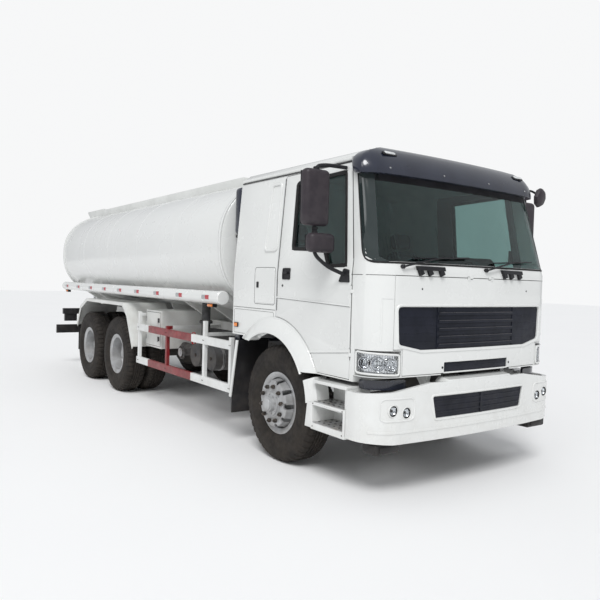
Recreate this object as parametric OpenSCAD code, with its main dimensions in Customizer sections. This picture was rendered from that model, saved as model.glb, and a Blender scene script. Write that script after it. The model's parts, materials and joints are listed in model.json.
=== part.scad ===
// Six-by-four tanker truck: chassis, tank, tilting cab, doors, steered and twin wheels.
// +X is forward, +Y the truck's left, Z = 0 the ground. Lengths are millimetres.

/* [Running gear] */
// Outside radius of a tyre
wheel_r = 560; // [500:5:620]
// Width of a tyre over its sidewalls
tyre_w = 315; // [260:5:340]
// Radius of the rim lip
rim_r = 298; // [270:1:320]
// Distance between the left and right front tyre centres
front_track = 2022; // [1900:2:2100]
// Distance between the middles of the left and right twin wheels
rear_track = 1830; // [1760:2:1900]
// Distance between the two tyres of a twin wheel
twin_gap = 340; // [330:1:370]
// Front axle to first drive axle
wheelbase = 4325; // [3800:5:5400]
// First to second drive axle
axle_gap = 1350; // [1280:5:1600]
// Distance from the middle plane to a kingpin
kingpin_y = 870; // [840:1:890]
// Steering angle each way, in degrees
steer_max = 38; // [20:1:40]

/* [Chassis frame] */
// Front axle ahead of the middle of the truck
front_axle_x = 3200; // [2900:10:3600]
// Width over the frame rails
frame_w = 860; // [800:5:900]
// Height of a rail's underside above the ground
rail_z = 760; // [700:5:820]
// Height of a rail
rail_h = 300; // [240:5:330]
// Flange width of a rail
rail_flange = 80; // [60:1:100]
// Thickness of a rail's web and flanges
rail_t = 12; // [8:1:16]
// Rear end of the rails
rail_rear = -4000; // [-5200:10:-3800]
// Front end of the rails
rail_front = 4560; // [4400:10:4620]

/* [Tank] */
// Length of the tank's barrel
tank_len = 6224; // [5000:10:7800]
// Half of the tank's width
tank_hw = 1228; // [1020:2:1480]
// Half of the tank's height
tank_hh = 817; // [680:1:985]
// Height of the tank's middle above the ground
tank_z = 2125; // [1900:5:2600]
// Front end of the barrel
tank_front = 2142; // [2000:2:2180]
// Roundness of the tank's section, 2 for an ellipse
tank_n = 2.38; // [2:0.02:4]
// How far each end bulges
tank_bulge = 70; // [20:5:120]
// Outside diameter of a hose tube
tube_d = 147; // [100:1:170]
// Distance of a hose tube from the middle plane
tube_y = 1170; // [1120:2:1175]
// Height of a hose tube's middle
tube_z = 1528; // [1500:2:1600]

/* [Cab] */
// Half of the cab's width below the windows
cab_hw = 1160; // [1130:1:1180]
// How far the wheel arches, bumper and steps stand out from the cab side.
arch_flare = 75; // [40:1:110]
// Back wall of the cab
cab_rear = 2330; // [2310:2:2400]
// Foremost point of the cab
cab_front = 4640; // [4600:2:4650]
// Underside of the cab behind the wheels
cab_floor = 1158; // [1140:2:1180]
// Underside of the door sill
sill_z = 930; // [900:2:950]
// Height where the windscreen starts to lean
belt_z = 1850; // [1800:5:1900]
// Height of the roof's crown
roof_z = 2950; // [2850:5:3050]
// Lean of the windscreen, in degrees
screen_lean = 17.5; // [8:0.5:24]
// Thickness of doors and side walls
wall = 55; // [40:1:65]
// Thickness of the glass
glass_t = 7; // [5:1:10]
// Height of the cab's tilt shaft
tilt_z = 800; // [780:2:820]

/* [Fits] */
// Gap round doors and flaps
door_gap = 6; // [5.5:0.5:9]
// Running clearance of pins and spindles, on the radius
run_fit = 0.3; // [0.1:0.05:0.5]

/* [Hidden] */
$fn = 96;
mid_x = front_axle_x - wheelbase;
arch_hw = cab_hw + arch_flare;
rear_x = mid_x - axle_gap;
fy = front_track / 2;
ty = rear_track / 2;
rail_y = frame_w / 2;
rail_top = rail_z + rail_h;
tank_rear = tank_front - tank_len;
tank_bot = tank_z - tank_hh;
tank_top = tank_z + tank_hh;
tilt_x = cab_front - 40;
tow_x = rail_front + 30;
eps = 1;
big = 12000;

// Node names, in the order they are packed.

// The node to draw, or all of them.

// ---- Shared helpers ----------------------------------------------------------

// A box from its low corner to its high corner.
module slab(lo, hi) {
  translate(lo) cube(hi - lo);
}

// An XZ outline, drawn as [x, z], extruded from y0 to y1.
module along_y(y0, y1) {
  translate([0, y1, 0]) rotate([90, 0, 0]) linear_extrude(height = y1 - y0) children();
}

// A YZ outline, drawn as [y, z], extruded from x0 to x1.
module along_x(x0, x1) {
  translate([x0, 0, 0]) rotate([90, 0, 90]) linear_extrude(height = x1 - x0) children();
}

// A cylinder along Y from y0 to y1.
module rod_y(r, y0, y1, x = 0, z = 0) {
  translate([x, y1, z]) rotate([90, 0, 0]) cylinder(r = r, h = y1 - y0);
}

// A cylinder along X from x0 to x1.
module rod_x(r, x0, x1, y = 0, z = 0) {
  translate([x0, y, z]) rotate([0, 90, 0]) cylinder(r = r, h = x1 - x0);
}

// A round bar between two points.
module bar(a, b, r) {
  v = b - a;
  translate(a) rotate([0, acos(v[2] / norm(v)), atan2(v[1], v[0])]) cylinder(r = r, h = norm(v));
}

// The left-hand piece and its mirror image.
module both_sides() {
  children();
  mirror([0, 1, 0]) children();
}

// side is 1 for the left-hand piece and -1 for its mirror image on the right.
module on_side(side) {
  if (side > 0) children();
  else mirror([0, 1, 0]) children();
}

// ---- Wheels ------------------------------------------------------------------

seat_r = rim_r - 44;
bead_y = tyre_w / 2 - 50;
flange_y = bead_y + 16;

// One tyre about the Y axis, its middle plane at y.
module tyre_ring(y) {
  half = [[seat_r, 0], [seat_r, bead_y], [seat_r + 8, bead_y + 5], [rim_r, bead_y + 9],
          [rim_r + 20, bead_y + 22], [rim_r + 70, tyre_w / 2 - 6], [rim_r + 115, tyre_w / 2],
          [wheel_r - 90, tyre_w / 2 - 4], [wheel_r - 45, tyre_w / 2 - 14],
          [wheel_r - 18, tyre_w / 2 - 30], [wheel_r - 4, tyre_w / 2 - 52],
          [wheel_r, tyre_w / 2 - 80], [wheel_r, 0]];
  n = len(half) - 1;
  low = [for (i = [n - 1:-1:1]) [half[i][0], -half[i][1]]];
  translate([0, y, 0]) rotate([-90, 0, 0]) rotate_extrude() polygon(concat(half, low));
}

// The rim's barrel and lips about the Y axis.
module rim_barrel(y) {
  half = [[seat_r - 10, 0], [seat_r - 10, bead_y], [rim_r - 12, flange_y], [rim_r, flange_y],
          [rim_r, bead_y + 9], [seat_r + 8, bead_y + 5], [seat_r, bead_y], [seat_r, 0]];
  n = len(half) - 1;
  low = [for (i = [n - 1:-1:1]) [half[i][0], -half[i][1]]];
  translate([0, y, 0]) rotate([-90, 0, 0]) rotate_extrude() polygon(concat(half, low));
}

// A wheel disc whose bolting face stands at face, measured outwards along dir.
module wheel_disc(y, face, dir) {
  hub_r = 110;
  bend_r = seat_r - 55;
  disc = [[hub_r, face], [bend_r, face], [bend_r + 22, face - 12], [seat_r - 16, 70],
          [seat_r - 6, 60], [seat_r - 6, 30], [seat_r - 22, 52], [bend_r + 10, face - 30],
          [bend_r - 8, face - 14], [hub_r, face - 14]];
  translate([0, y, 0]) rotate([-90 * dir, 0, 0]) difference() {
    rotate_extrude() polygon(disc);
    for (i = [0:9]) rotate([0, 0, 36 * i]) translate([bend_r + 16, 0, face / 2])
      cylinder(r = 24, h = face);
  }
}

// The front rim, disc, hub and brake drum as one turned piece on its spindle bore.
module front_wheel() {
  face = 190;
  difference() {
    union() {
      rim_barrel(0);
      wheel_disc(0, face, 1);
      rod_y(112, -60, face + 20);
      rod_y(75, face, face + 62);
      rod_y(205, -70, 40);
    }
    rod_y(38 + run_fit, -300, face - 10);
    rod_y(192, -300, -20);
  }
}

// The twin rims, hub and drum of a driven wheel, its middle plane at the discs.
module twin_wheel() {
  half = twin_gap / 2;
  difference() {
    union() {
      rim_barrel(half);
      rim_barrel(-half);
      wheel_disc(half, half, -1);
      wheel_disc(-half, half, 1);
      rod_y(130, -190, 120);
      rod_y(105, 100, 190);
      rod_y(210, -250, -60);
    }
    rod_y(50 + run_fit, -400, 90);
    rod_y(196, -400, -110);
  }
}

module tyre_front(side) {
  color("#2b2724") on_side(side) translate([front_axle_x, fy, wheel_r]) tyre_ring(0);
}

module wheel_front(side) {
  color("#b9bdc2") on_side(side) translate([front_axle_x, fy, wheel_r]) front_wheel();
}

module tyres_twin(x, side) {
  color("#2b2724") on_side(side) translate([x, ty, wheel_r]) {
    tyre_ring(twin_gap / 2);
    tyre_ring(-twin_gap / 2);
  }
}

module wheels_twin(x, side) {
  color("#b9bdc2") on_side(side) translate([x, ty, wheel_r]) twin_wheel();
}

// ---- Axles, steering and springs ---------------------------------------------

spring_y = rail_y - rail_flange / 2;
spring_hw = 38;
king_r = 24;

module front_axle() {
  drop = 110;
  beam_h = 95;
  eye_y = kingpin_y - 60;
  z = wheel_r;
  beam = [[-eye_y, z - 60], [-eye_y + 90, z - 60], [-560, z - drop - 50], [560, z - drop - 50],
          [eye_y - 90, z - 60], [eye_y, z - 60], [eye_y, z + 60], [eye_y - 60, z + 60],
          [600, z - drop + 45], [-600, z - drop + 45], [-eye_y + 60, z + 60], [-eye_y, z + 60]];
  color("#33353a") translate([front_axle_x, 0, 0]) {
    along_x(-beam_h / 2, beam_h / 2) polygon(beam);
    both_sides() {
      translate([0, kingpin_y, z - 62]) cylinder(r = 46, h = 124);
      slab([-46, eye_y - 10, z - 60], [46, kingpin_y, z + 60]);
      translate([0, kingpin_y, z - 118]) cylinder(r = king_r, h = 236);
      slab([-70, spring_y - 42, z - drop + 40], [70, spring_y + 42, z - drop + 62]);
    }
  }
}

// A steered knuckle: two lugs on the kingpin, a web outside it and the wheel's spindle.
module knuckle(side) {
  lug = 40;
  web_y = kingpin_y + 52;
  color("#3a3d42") on_side(side) translate([front_axle_x, 0, wheel_r]) difference() {
    union() {
      for (z = [68, -68 - lug]) {
        translate([0, kingpin_y, z]) cylinder(r = 44, h = lug);
        slab([-44, kingpin_y, z], [44, web_y + 10, z + lug]);
      }
      slab([-50, web_y, -68 - lug], [50, web_y + 26, 68 + lug]);
      rod_y(38, web_y, fy + 150);
    }
    translate([0, kingpin_y, -150]) cylinder(r = king_r + run_fit, h = 300);
  }
}

module drive_axle(x) {
  translate([x, 0, wheel_r]) {
    sphere(r = 225);
    rod_y(72, -(ty - 215), ty - 215);
    rod_y(50, -(ty + 70), ty + 70);
    rod_x(80, 200, 330);
    rod_x(60, -240, -150);
    both_sides() slab([-60, spring_y - 45, 0], [60, spring_y + 45, 96]);
  }
}

module drive_axles() {
  color("#33353a") {
    drive_axle(mid_x);
    drive_axle(rear_x);
  }
}

// A curved leaf pack in XZ: mid height zm at x = 0 and end height ze at x = +-half.
module leaf_pack(half, zm, ze, t) {
  n = 12;
  top = [for (i = [-n:n]) [half * i / n, zm + (ze - zm) * pow(i / n, 2) + t / 2]];
  low = [for (i = [n:-1:-n]) [half * i / n, zm + (ze - zm) * pow(i / n, 2) - t / 2]];
  polygon(concat(top, low));
}

module leaf_springs() {
  t = 66;
  front_low = wheel_r - 110 + 62;
  rear_low = wheel_r + 96;
  color("#2e3034") both_sides() {
    translate([front_axle_x, 0, 0]) along_y(spring_y - spring_hw, spring_y + spring_hw)
      leaf_pack(740, front_low + t / 2, rail_z - t / 2, t);
    translate([(mid_x + rear_x) / 2, 0, 0]) along_y(spring_y - spring_hw, spring_y + spring_hw)
      leaf_pack(axle_gap / 2 + 60, rail_z - t / 2, rear_low + t / 2, t);
  }
}

// ---- Frame and drive line ----------------------------------------------------

// One C-section rail, open towards the middle.
module rail() {
  difference() {
    slab([rail_rear, rail_y - rail_flange, rail_z], [rail_front, rail_y, rail_top]);
    slab([rail_rear - eps, rail_y - rail_flange - eps, rail_z + rail_t],
         [rail_front + eps, rail_y - rail_t, rail_top - rail_t]);
  }
}

tow_r = 25;
rear_tow_x = rail_rear - 125;

module chassis_frame() {
  color("#46494e") both_sides() rail();
}

// Members between the rails, the end ones with the blocks for the tow pins, and the
// brackets on the rails' front ends with the shafts that the cab tilts on.
module cross_members() {
  inner = rail_y - rail_t;
  cross_x = [rail_rear + 60, rear_x - 420, (mid_x + rear_x) / 2, mid_x + 620, 900, 1800];
  color("#46494e") difference() {
    union() {
      for (x = cross_x)
        slab([x - 40, -inner, rail_top - 170], [x + 40, inner, rail_top - rail_t]);
      slab([rail_front - 90, -inner, rail_z + rail_t], [rail_front - 10, inner, rail_z + 130]);
      slab([rail_front - 60, -70, rail_z - 40], [tow_x + 45, 70, rail_z + 60]);
      slab([rear_tow_x - 50, -60, rail_top - 160], [rail_rear + 60, 60, rail_top - 70]);
      both_sides() {
        slab([rail_front, rail_y - 60, rail_z], [tilt_x + 45, rail_y, rail_z + 96]);
        translate([tilt_x, 0, tilt_z]) rod_y(24, rail_y - 10, rail_y + 105);
      }
    }
    translate([tow_x, 0, rail_z - 60]) cylinder(r = tow_r, h = 160);
    translate([rear_tow_x, 0, rail_top - 200]) cylinder(r = tow_r, h = 200);
  }
}

module engine_block() {
  color("#5a5f63")
    slab([front_axle_x - 150, -(rail_y - rail_flange), 640], [4150, rail_y - rail_flange, 1330]);
}

module gearbox() {
  color("#5a5f63") slab([2260, -200, 650], [front_axle_x - 150, 200, 1010]);
}

module propshafts() {
  color("#2e3034") {
    intersection() {
      bar([2360, 0, 780], [mid_x + 230, 0, wheel_r], 45);
      slab([mid_x + 330, -200, 0], [2260, 200, 1500]);
    }
    bar([mid_x - 240, 0, wheel_r], [rear_x + 330, 0, wheel_r], 40);
  }
}

// ---- Tank --------------------------------------------------------------------

function se(c, s, n) = sign(c) * pow(abs(c), 2 / n);
function super_oval(a, b, n) = [for (t = [0:5:355]) [a * se(cos(t), 1, n), b * se(sin(t), 1, n)]];

// Side view of the dished ends, as [radius, x] about the tank's middle line.
function dish(r) = r * r / (2 * 9500);
dish_step = 130;

// The tank grown by g all round, its ends left where they are.
module tank_body(g = 0) {
  xf = tank_front + tank_bulge;
  xr = tank_rear - tank_bulge;
  rear = [for (i = [0:12]) [i * dish_step, xr + dish(i * dish_step)]];
  front = [for (i = [12:-1:0]) [i * dish_step, xf - dish(i * dish_step)]];
  intersection() {
    translate([0, 0, tank_z]) along_x(xr, xf)
      polygon(super_oval(tank_hw + g, tank_hh + g, tank_n));
    translate([0, 0, tank_z]) rotate([0, 90, 0]) rotate_extrude($fn = 180)
      polygon(concat(rear, front));
  }
}

manhole_x = (tank_front + tank_rear) / 2 + 900;
neck_r = 250;
neck_z = tank_top + 26;

lid_pin_x = manhole_x - neck_r - 32;
lid_pin_z = neck_z + 14;
lid_pin_r = 5;

module tank() {
  color("#eef1f1") {
    tank_body();
    translate([manhole_x, 0, tank_top - 60]) cylinder(r = neck_r, h = neck_z - tank_top + 60);
    both_sides() {
      rod_y(lid_pin_r + 5, 25 + run_fit, 40, lid_pin_x, lid_pin_z);
      along_y(25 + run_fit, 40) polygon([[lid_pin_x - 10, lid_pin_z],
        [lid_pin_x + 10, lid_pin_z], [lid_pin_x + 10, neck_z - 2], [lid_pin_x + 40, neck_z - 2],
        [lid_pin_x + 40, tank_top - 8], [lid_pin_x, tank_top - 8]]);
    }
    rod_y(lid_pin_r, -38, 38, lid_pin_x, lid_pin_z);
  }
}

module manhole_lid() {
  color("#d9dddd") difference() {
    union() {
      translate([manhole_x, 0, neck_z + run_fit]) cylinder(r = neck_r + 12, h = 20);
      slab([lid_pin_x, -25, neck_z + 8], [lid_pin_x + 60, 25, neck_z + 20]);
      rod_y(lid_pin_r + 5, -25, 25, lid_pin_x, lid_pin_z);
    }
    rod_y(lid_pin_r + run_fit, -60, 60, lid_pin_x, lid_pin_z);
  }
}

landing_z = tank_top + 42;

// A low wall round the walkway on top of the tank, with a landing behind it.
module tank_walkway() {
  y = 600;
  t = 14;
  z = landing_z + 4;
  x0 = tank_rear + 40;
  x1 = tank_front - 640;
  tip = tank_rear - 618;
  color("#e4e8ea") difference() {
    union() {
      both_sides() slab([x0, y - t, tank_top - 90], [x1, y, z]);
      slab([x1 - t, -y, tank_top - 90], [x1, y, z]);
      slab([x0, -y, tank_top - 90], [x0 + t, y, z]);
      both_sides() along_y(y - 40, y)
        polygon([[x0 + 300, z - 10], [x0 + 300, z + 24], [tip, z + 24], [tip, landing_z],
                 [tank_rear - 330, tank_top - 150], [x0 + 10, tank_top - 150]]);
      slab([tip, -y, landing_z], [tank_rear - 60, y, z + 12]);
    }
    tank_body();
  }
}

module hose_tubes() {
  color("#eef1f1") both_sides() rod_x(tube_d / 2, tank_rear, tank_front - 30, tube_y, tube_z);
}

saddle_hw = tank_hw - 388;

module tube_brackets() {
  steps = 6;
  span = tank_len - 400;
  color("#d9dddd") both_sides() difference() {
    for (i = [0:steps]) {
      x = tank_rear + 185 + span * i / steps;
      slab([x - 12, saddle_hw + 10, tube_z - 40], [x + 12, tube_y, tube_z + 60]);
    }
    tank_body();
    rod_x(tube_d / 2, tank_rear - 50, tank_front + 50, tube_y, tube_z);
  }
}

sill_h = 110;

// Two long sills on the frame rails under the tank.
module cradle_sills() {
  color("#c9ced2") both_sides() slab([tank_rear + 122, rail_y - rail_flange, rail_top],
                                     [tank_front - 100, rail_y, rail_top + sill_h]);
}

// Saddles across the sills that follow the tank's underside.
module tank_saddles() {
  low = rail_top + sill_h;
  top = tank_bot + 190;
  wide = saddle_hw;
  narrow = ty - twin_gap / 2 - tyre_w / 2 - 12;
  saddles = [[tank_front - 180, wide], [tank_front - 1050, wide], [mid_x + 1500, wide],
             [mid_x + 425, narrow], [rear_x + 345, narrow], [rear_x - 800, wide],
             [tank_rear + 160, wide]];
  color("#c9ced2") difference() {
    for (s = saddles) along_x(s[0] - 30, s[0] + 30)
      polygon([[-rail_y, low], [rail_y, low], [s[1], top - 60], [s[1], top], [-s[1], top],
               [-s[1], top - 60]]);
    tank_body();
  }
}

// ---- Chassis equipment -------------------------------------------------------

module fuel_tank() {
  color("#c2c6ca") along_y(rail_y, 1090) translate([1270, 812]) offset_square(1050, 510, 90);
}

// A rectangle about its middle with rounded corners.
module offset_square(w, h, r) {
  square([w - 2 * r, h], center = true);
  square([w, h - 2 * r], center = true);
  for (x = [-1, 1], z = [-1, 1]) translate([x * (w / 2 - r), z * (h / 2 - r)]) circle(r = r);
}

module tool_box() {
  color("#cfd3d0") slab([mid_x + 890, -1100, 770], [mid_x + 1420, -rail_y, tank_bot - 26]);
}

module pump_pipework() {
  px = mid_x + 2050;
  z = rail_z + 40;
  color("#6d7479") difference() {
    union() {
      translate([px, -760, z]) cylinder(r = 55, h = tank_z - z);
      rod_x(55, mid_x + 1420, px, -760, z);
      sphere_at([px, -760, z], 70);
      rod_y(45, -1080, -760, px, z);
      rod_y(85, -1100, -1078, px, z);
      slab([px - 30, -760, z - 20], [px + 30, -rail_y, z + 20]);
    }
    tank_body();
    rod_y(36, -1200, -900, px, z);
    for (i = [0:7]) rotate_about_y(px, z, 45 * i) rod_y(7, -1200, -1000, 66, 0);
  }
}

module sphere_at(p, r) {
  translate(p) sphere(r = r);
}

module rotate_about_y(x, z, a) {
  translate([x, 0, z]) rotate([0, a, 0]) children();
}

module air_reservoirs() {
  color("#4a4e53") for (x = [1250, 1650]) {
    rod_y(140, -1060, -520, x, 800);
    slab([x - 40, -560, 800], [x + 40, -rail_y, 940]);
  }
}

module air_intake() {
  color("#20263a") {
    slab([2190, -1060, rail_top - 10], [2300, -880, 2700]);
    slab([2190, -900, rail_top - 10], [2300, -rail_y, rail_top + 40]);
  }
}

// Two guard rails a side on posts, with arms in to the frame.
module side_guards() {
  x0 = mid_x + 800;
  x1 = cab_rear + 40;
  y = 1205;
  posts = [x0 + 60, x0 + 1010, 1735, x1 - 20];
  color("#e9ecec") both_sides() {
    for (z = [570, 1030]) slab([x0, y - 40, z - 45], [x1, y, z + 45]);
    for (i = [0:3]) slab([posts[i] - 25, y - 45, 525],
                         [posts[i] + 25, y - 5, i % 2 == 0 ? 1250 : 1115]);
    for (x = [posts[1], posts[2]]) slab([x - 20, rail_y, 1075], [x + 20, y - 20, 1115]);
    slab([x0 + 40, rail_y, 1190], [x0 + 80, y - 20, 1230]);
    slab([x0 + 40, rail_y, 1040], [x0 + 80, rail_y + 40, 1230]);
  }
}

// A folded guard over both drive wheels, on brackets from the frame.
module rear_mudguards() {
  t = 12;
  yo = 1243;
  yi = ty - twin_gap / 2 - tyre_w / 2;
  f = mid_x + wheel_r + 195;
  r = rear_x - wheel_r - 65;
  top = 2 * wheel_r + 225;
  outer = [[f, 750], [f - 240, top - 145], [f - 430, top], [r + 520, top],
           [r + 180, top - 145], [r, 880]];
  inner = [for (p = outer) [p[0] + (p[0] > (mid_x + rear_x) / 2 ? -t : t), p[1] - t]];
  band = concat(outer, [for (i = [len(outer) - 1:-1:0]) inner[i]]);
  lip = [for (p = outer) [p[0] + (p[0] > (mid_x + rear_x) / 2 ? -40 : 40), p[1] - 45]];
  rim = concat(outer, [for (i = [len(outer) - 1:-1:0]) lip[i]]);
  mid = (mid_x + rear_x) / 2;
  color("#e9ecec") both_sides() {
    along_y(yi, yo) polygon(band);
    along_y(yo - 8, yo) polygon(rim);
    difference() {
      slab([mid - 25, rail_y, top - 60], [mid + 25, yo - 10, top - t + 2]);
      tank_body();
    }
    slab([mid - 25, rail_y, rail_top - 100], [mid + 25, rail_y + 40, top - 40]);
  }
}

module rear_bars() {
  x = rail_rear;
  color("#1d1f22") {
    slab([x - 80, -1235, 995], [x, 1235, 1100]);
    slab([x - 490, -1240, 600], [x - 430, 1240, 760]);
    both_sides() {
      slab([x - 440, rail_y - 90, 640], [x, rail_y - 30, 720]);
      slab([x - 60, rail_y - 90, 640], [x, rail_y - 30, 1000]);
      slab([x - 90, 980, 860], [x - 20, 1200, 996]);
    }
  }
}

module rear_ladder() {
  x = tank_rear - 330;
  y0 = -530;
  y1 = -130;
  color("#d9dddd") {
    for (y = [y0, y1]) translate([x, y, 900]) cylinder(r = 19, h = landing_z - 900);
    for (i = [0:6]) rod_y(14, y0, y1, x, 1000 + 300 * i);
    difference() {
      for (y = [y0, y1], z = [1500, 2600]) rod_x(14, x, tank_rear, y, z);
      tank_body();
    }
  }
}

// ---- Bumper and steps --------------------------------------------------------

bump_front = cab_front + 60;
bump_corner_x = 4400;
bump_rear = 4330;

// The bumper's plan outline, set in by g.
function bump_plan(g) = concat(
  [[bump_rear, -(arch_hw - g)]],
  [for (a = [0:6:90]) [bump_corner_x + (255 - g) * sin(a), -900 - (arch_hw - 900 - g) * cos(a)]],
  [for (y = [-750:150:750]) [bump_front - g - 45 * pow(y / 900, 2), y]],
  [for (a = [90:-6:0]) [bump_corner_x + (255 - g) * sin(a), 900 + (arch_hw - 900 - g) * cos(a)]],
  [[bump_rear, arch_hw - g]]);

module bump_solid(g) {
  translate([0, 0, 300]) linear_extrude(height = 800) polygon(bump_plan(g));
}

grille_low = [[-567, 637], [567, 637], [607, 825], [-607, 825]];
fogs = [[1006, 732, 47], [874, 709, 47]];

module front_bumper() {
  face = [[-arch_hw - 5, 480], [-1000, 462], [1000, 462], [arch_hw + 5, 480], [arch_hw + 5, 865],
          [1000, 880], [620, 935], [-620, 935], [-1000, 880], [-arch_hw - 5, 865]];
  color("#eef1f1") difference() {
    union() {
      difference() {
        bump_solid(0);
        translate([-eps, 0, 0]) bump_solid(38);
      }
      both_sides() slab([rail_front, rail_y - 62, rail_z + 98], [bump_front - 45, rail_y, 905]);
      both_sides() slab([rail_front - 60, rail_y, rail_z - 100], [bump_front - 50, rail_y + 26,
                                                                 rail_z - 20]);
    }
    difference() {
      slab([4000, -2000, 200], [5200, 2000, 1300]);
      along_x(3900, 5300) polygon(face);
    }
    along_x(4000, 5200) polygon(grille_low);
    both_sides() for (f = fogs) rod_x(f[2] + 4, 4450, 5200, f[0], f[1]);
  }
}

module bumper_grille() {
  color("#15171a") intersection() {
    difference() {
      bump_solid(12);
      bump_solid(30);
    }
    along_x(4000, 5200) polygon(grille_low);
  }
}

module fog_lamps() {
  color("#d8dcdf") both_sides() for (f = fogs) intersection() {
    difference() {
      bump_solid(8);
      bump_solid(60);
    }
    rod_x(f[2] + 4, 4450, 5200, f[0], f[1]);
  }
}

step_x0 = front_axle_x + wheel_r + 105;
step_x1 = bump_rear - 12;

// A two-step box under each door, hung from the frame.
module step_boxes() {
  yi = 960;
  yo = arch_hw;
  skin = [[step_x0 - 90, 470], [step_x1, 480], [step_x1, 690], [step_x0 - 60, 690]];
  color("#e9ecec") both_sides() {
    difference() {
      union() {
        slab([step_x0, yi, 462], [step_x1, yo, 700]);
        along_y(yo - 18, yo) polygon(skin);
      }
      slab([step_x0 + 20, yi + 30, 520], [step_x1 - 25, yo + eps, 672]);
    }
    slab([step_x0, yi, 700], [step_x1, yi + 30, 905]);
    slab([step_x0, yi, 862], [step_x1, yo - 10, 890]);
    slab([step_x1 - 40, yi, 690], [step_x1, yo - 30, 880]);
    slab([step_x0 + 150, rail_y, 780], [step_x0 + 230, yi + 10, 850]);
  }
}

// A plate behind each front wheel with a hanging flap.
module front_mudflaps() {
  x = front_axle_x;
  top = cab_floor - 50;
  b = x - wheel_r - 85;
  plate = [[b, top], [b - 12, top], [b - 127, 500], [b - 115, 500]];
  edge = [[b + 15, top], [b - 25, top], [b - 140, 500], [b - 100, 500]];
  color("#e9ecec") both_sides() {
    along_y(840, arch_hw) polygon(plate);
    along_y(arch_hw - 12, arch_hw) polygon(edge);
    slab([b - 123, 850, 330], [b - 111, arch_hw - 20, 520]);
    slab([b - 75, rail_y, 860], [b - 45, 900, 900]);
  }
}

// ---- Cab ---------------------------------------------------------------------

corner_x = cab_front - 320;
corner_y = 900;

// The cab's plan outline at the belt, set in by g and shrunk k along X.
function cab_plan(g, k) = concat(
  [[k * 1000, -(cab_hw + 60)], [k * corner_x, -(cab_hw + 60)]],
  [for (a = [0:6:90]) [k * (corner_x + (280 - g) * sin(a)), -corner_y
    - (cab_hw - corner_y + 20 * cos(a) - g) * cos(a)]],
  [for (y = [-750:150:750]) [k * (cab_front - g - 40 * pow(y / corner_y, 2)), y]],
  [for (a = [90:-6:0]) [k * (corner_x + (280 - g) * sin(a)), corner_y
    + (cab_hw - corner_y + 20 * cos(a) - g) * cos(a)]],
  [[k * corner_x, cab_hw + 60], [k * 1000, cab_hw + 60]]);

// Plan prism: upright below the belt and leaning back with the windscreen above it.
module plan_solid(g_low, g_high) {
  translate([0, 0, 600]) linear_extrude(height = belt_z - 600) polygon(cab_plan(g_low, 1));
  difference() {
    translate([0, 0, belt_z]) rotate([0, -screen_lean, 0]) translate([0, 0, -2400])
      linear_extrude(height = 4400) polygon(cab_plan(g_high, cos(screen_lean)));
    slab([-3000, -2000, -1000], [7000, 2000, belt_z]);
  }
}

// Front view of the cab, set in by g: upright sides, tumblehome and a crowned roof.
function cab_section(g) = let (w = cab_hw - g, r = roof_z - g, q = 1 - g / 1160) [
  [w, 600], [w, belt_z - 50], [w - 78, roof_z - 215], [w - 100, roof_z - 165 - g / 2],
  [w - 165, roof_z - 105 - g * 0.9], [860 * q, r - 62], [600 * q, r - 26], [300 * q, r - 6],
  [0, r]];

module section_solid(g) {
  right = cab_section(g);
  n = len(right) - 1;
  left = [for (i = [n - 1:-1:0]) [-right[i][0], right[i][1]]];
  along_x(1500, 5500) polygon(concat(right, left));
}

// Side view of the cab, set in by g. Its underside rises by nose_rise ahead of the sills.
nose_rise = 55;

module profile_solid(g, floor_z) {
  nose_x = corner_x - g;
  along_y(-2000, 2000) polygon([[cab_rear + g, floor_z], [cab_rear + g, roof_z - 150 - g / 2],
    [cab_rear + 25 + g * 0.8, roof_z - 75 - g], [cab_rear + 110 + g / 2, roof_z - 22 - g],
    [cab_rear + 380, roof_z - g], [3500, roof_z - 4 - g], [3900, roof_z - 40 - g],
    [4200, roof_z - 100 - g], [4420, roof_z - 190 - g], [4460, roof_z - 230 - g],
    [5400, roof_z - 230 - g], [5400, floor_z + nose_rise], [nose_x, floor_z + nose_rise],
    [nose_x, floor_z]]);
}

module cab_outer() {
  intersection() {
    plan_solid(0, 0);
    section_solid(0);
    profile_solid(0, sill_z);
  }
}

tunnel_y = rail_y + 30;
tunnel_z = 1400;
house_r = wheel_r + 108;
fire_wall = 150;

// Everything under the cab that stays open: wheel housings, rear underside and tunnel.
module cab_under(g = 0) {
  rod_y(house_r + g, -2000, 2000, front_axle_x, wheel_r + 10);
  slab([cab_rear - 10, -2000, 500], [front_axle_x + 400, 2000, cab_floor + g]);
  slab([cab_rear - 10, -tunnel_y - g, 500], [4440 + g / 2, tunnel_y + g, tunnel_z + g]);
}

module cab_inner() {
  difference() {
    intersection() {
      plan_solid(fire_wall, wall - 8);
      section_solid(wall);
      profile_solid(wall - 5, sill_z + 50);
    }
    cab_under(48);
  }
}

flap_hw = 975;
flap_low = 1000;
flap_top = belt_z - 50;
lamp_low = 990;
lamp_top = 1200;

// The front flap's outline, narrower between the headlamps, grown by g.
module flap_box(g) {
  foot = flap_hw - 91 + g;
  w = flap_hw + g;
  along_x(4300, 5300) polygon([[-foot, flap_low - g], [foot, flap_low - g], [foot, lamp_top + 12 - g],
    [w, lamp_top + 12 - g], [w, flap_top + g], [-w, flap_top + g], [-w, lamp_top + 12 - g],
    [-foot, lamp_top + 12 - g]]);
}

// Ring of the cab's front between two insets.
module front_ring(a, b) {
  difference() {
    plan_solid(a, a);
    plan_solid(b, b);
  }
}

screen_low = belt_z + 60;
screen_top = roof_z - 262;

module screen_cut(g = 0) {
  along_x(4150, 5200) polygon([
    for (p = [[-1040, 0, 180, 250], [1040, 0, 290, 360]]) for (a = [p[2]:14:p[3]])
      [p[0] + (60 - g) * cos(a), screen_low + 60 + (60 - g) * sin(a)],
    [1020 - g, screen_top - g], [-1020 + g, screen_top - g]]);
}

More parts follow.
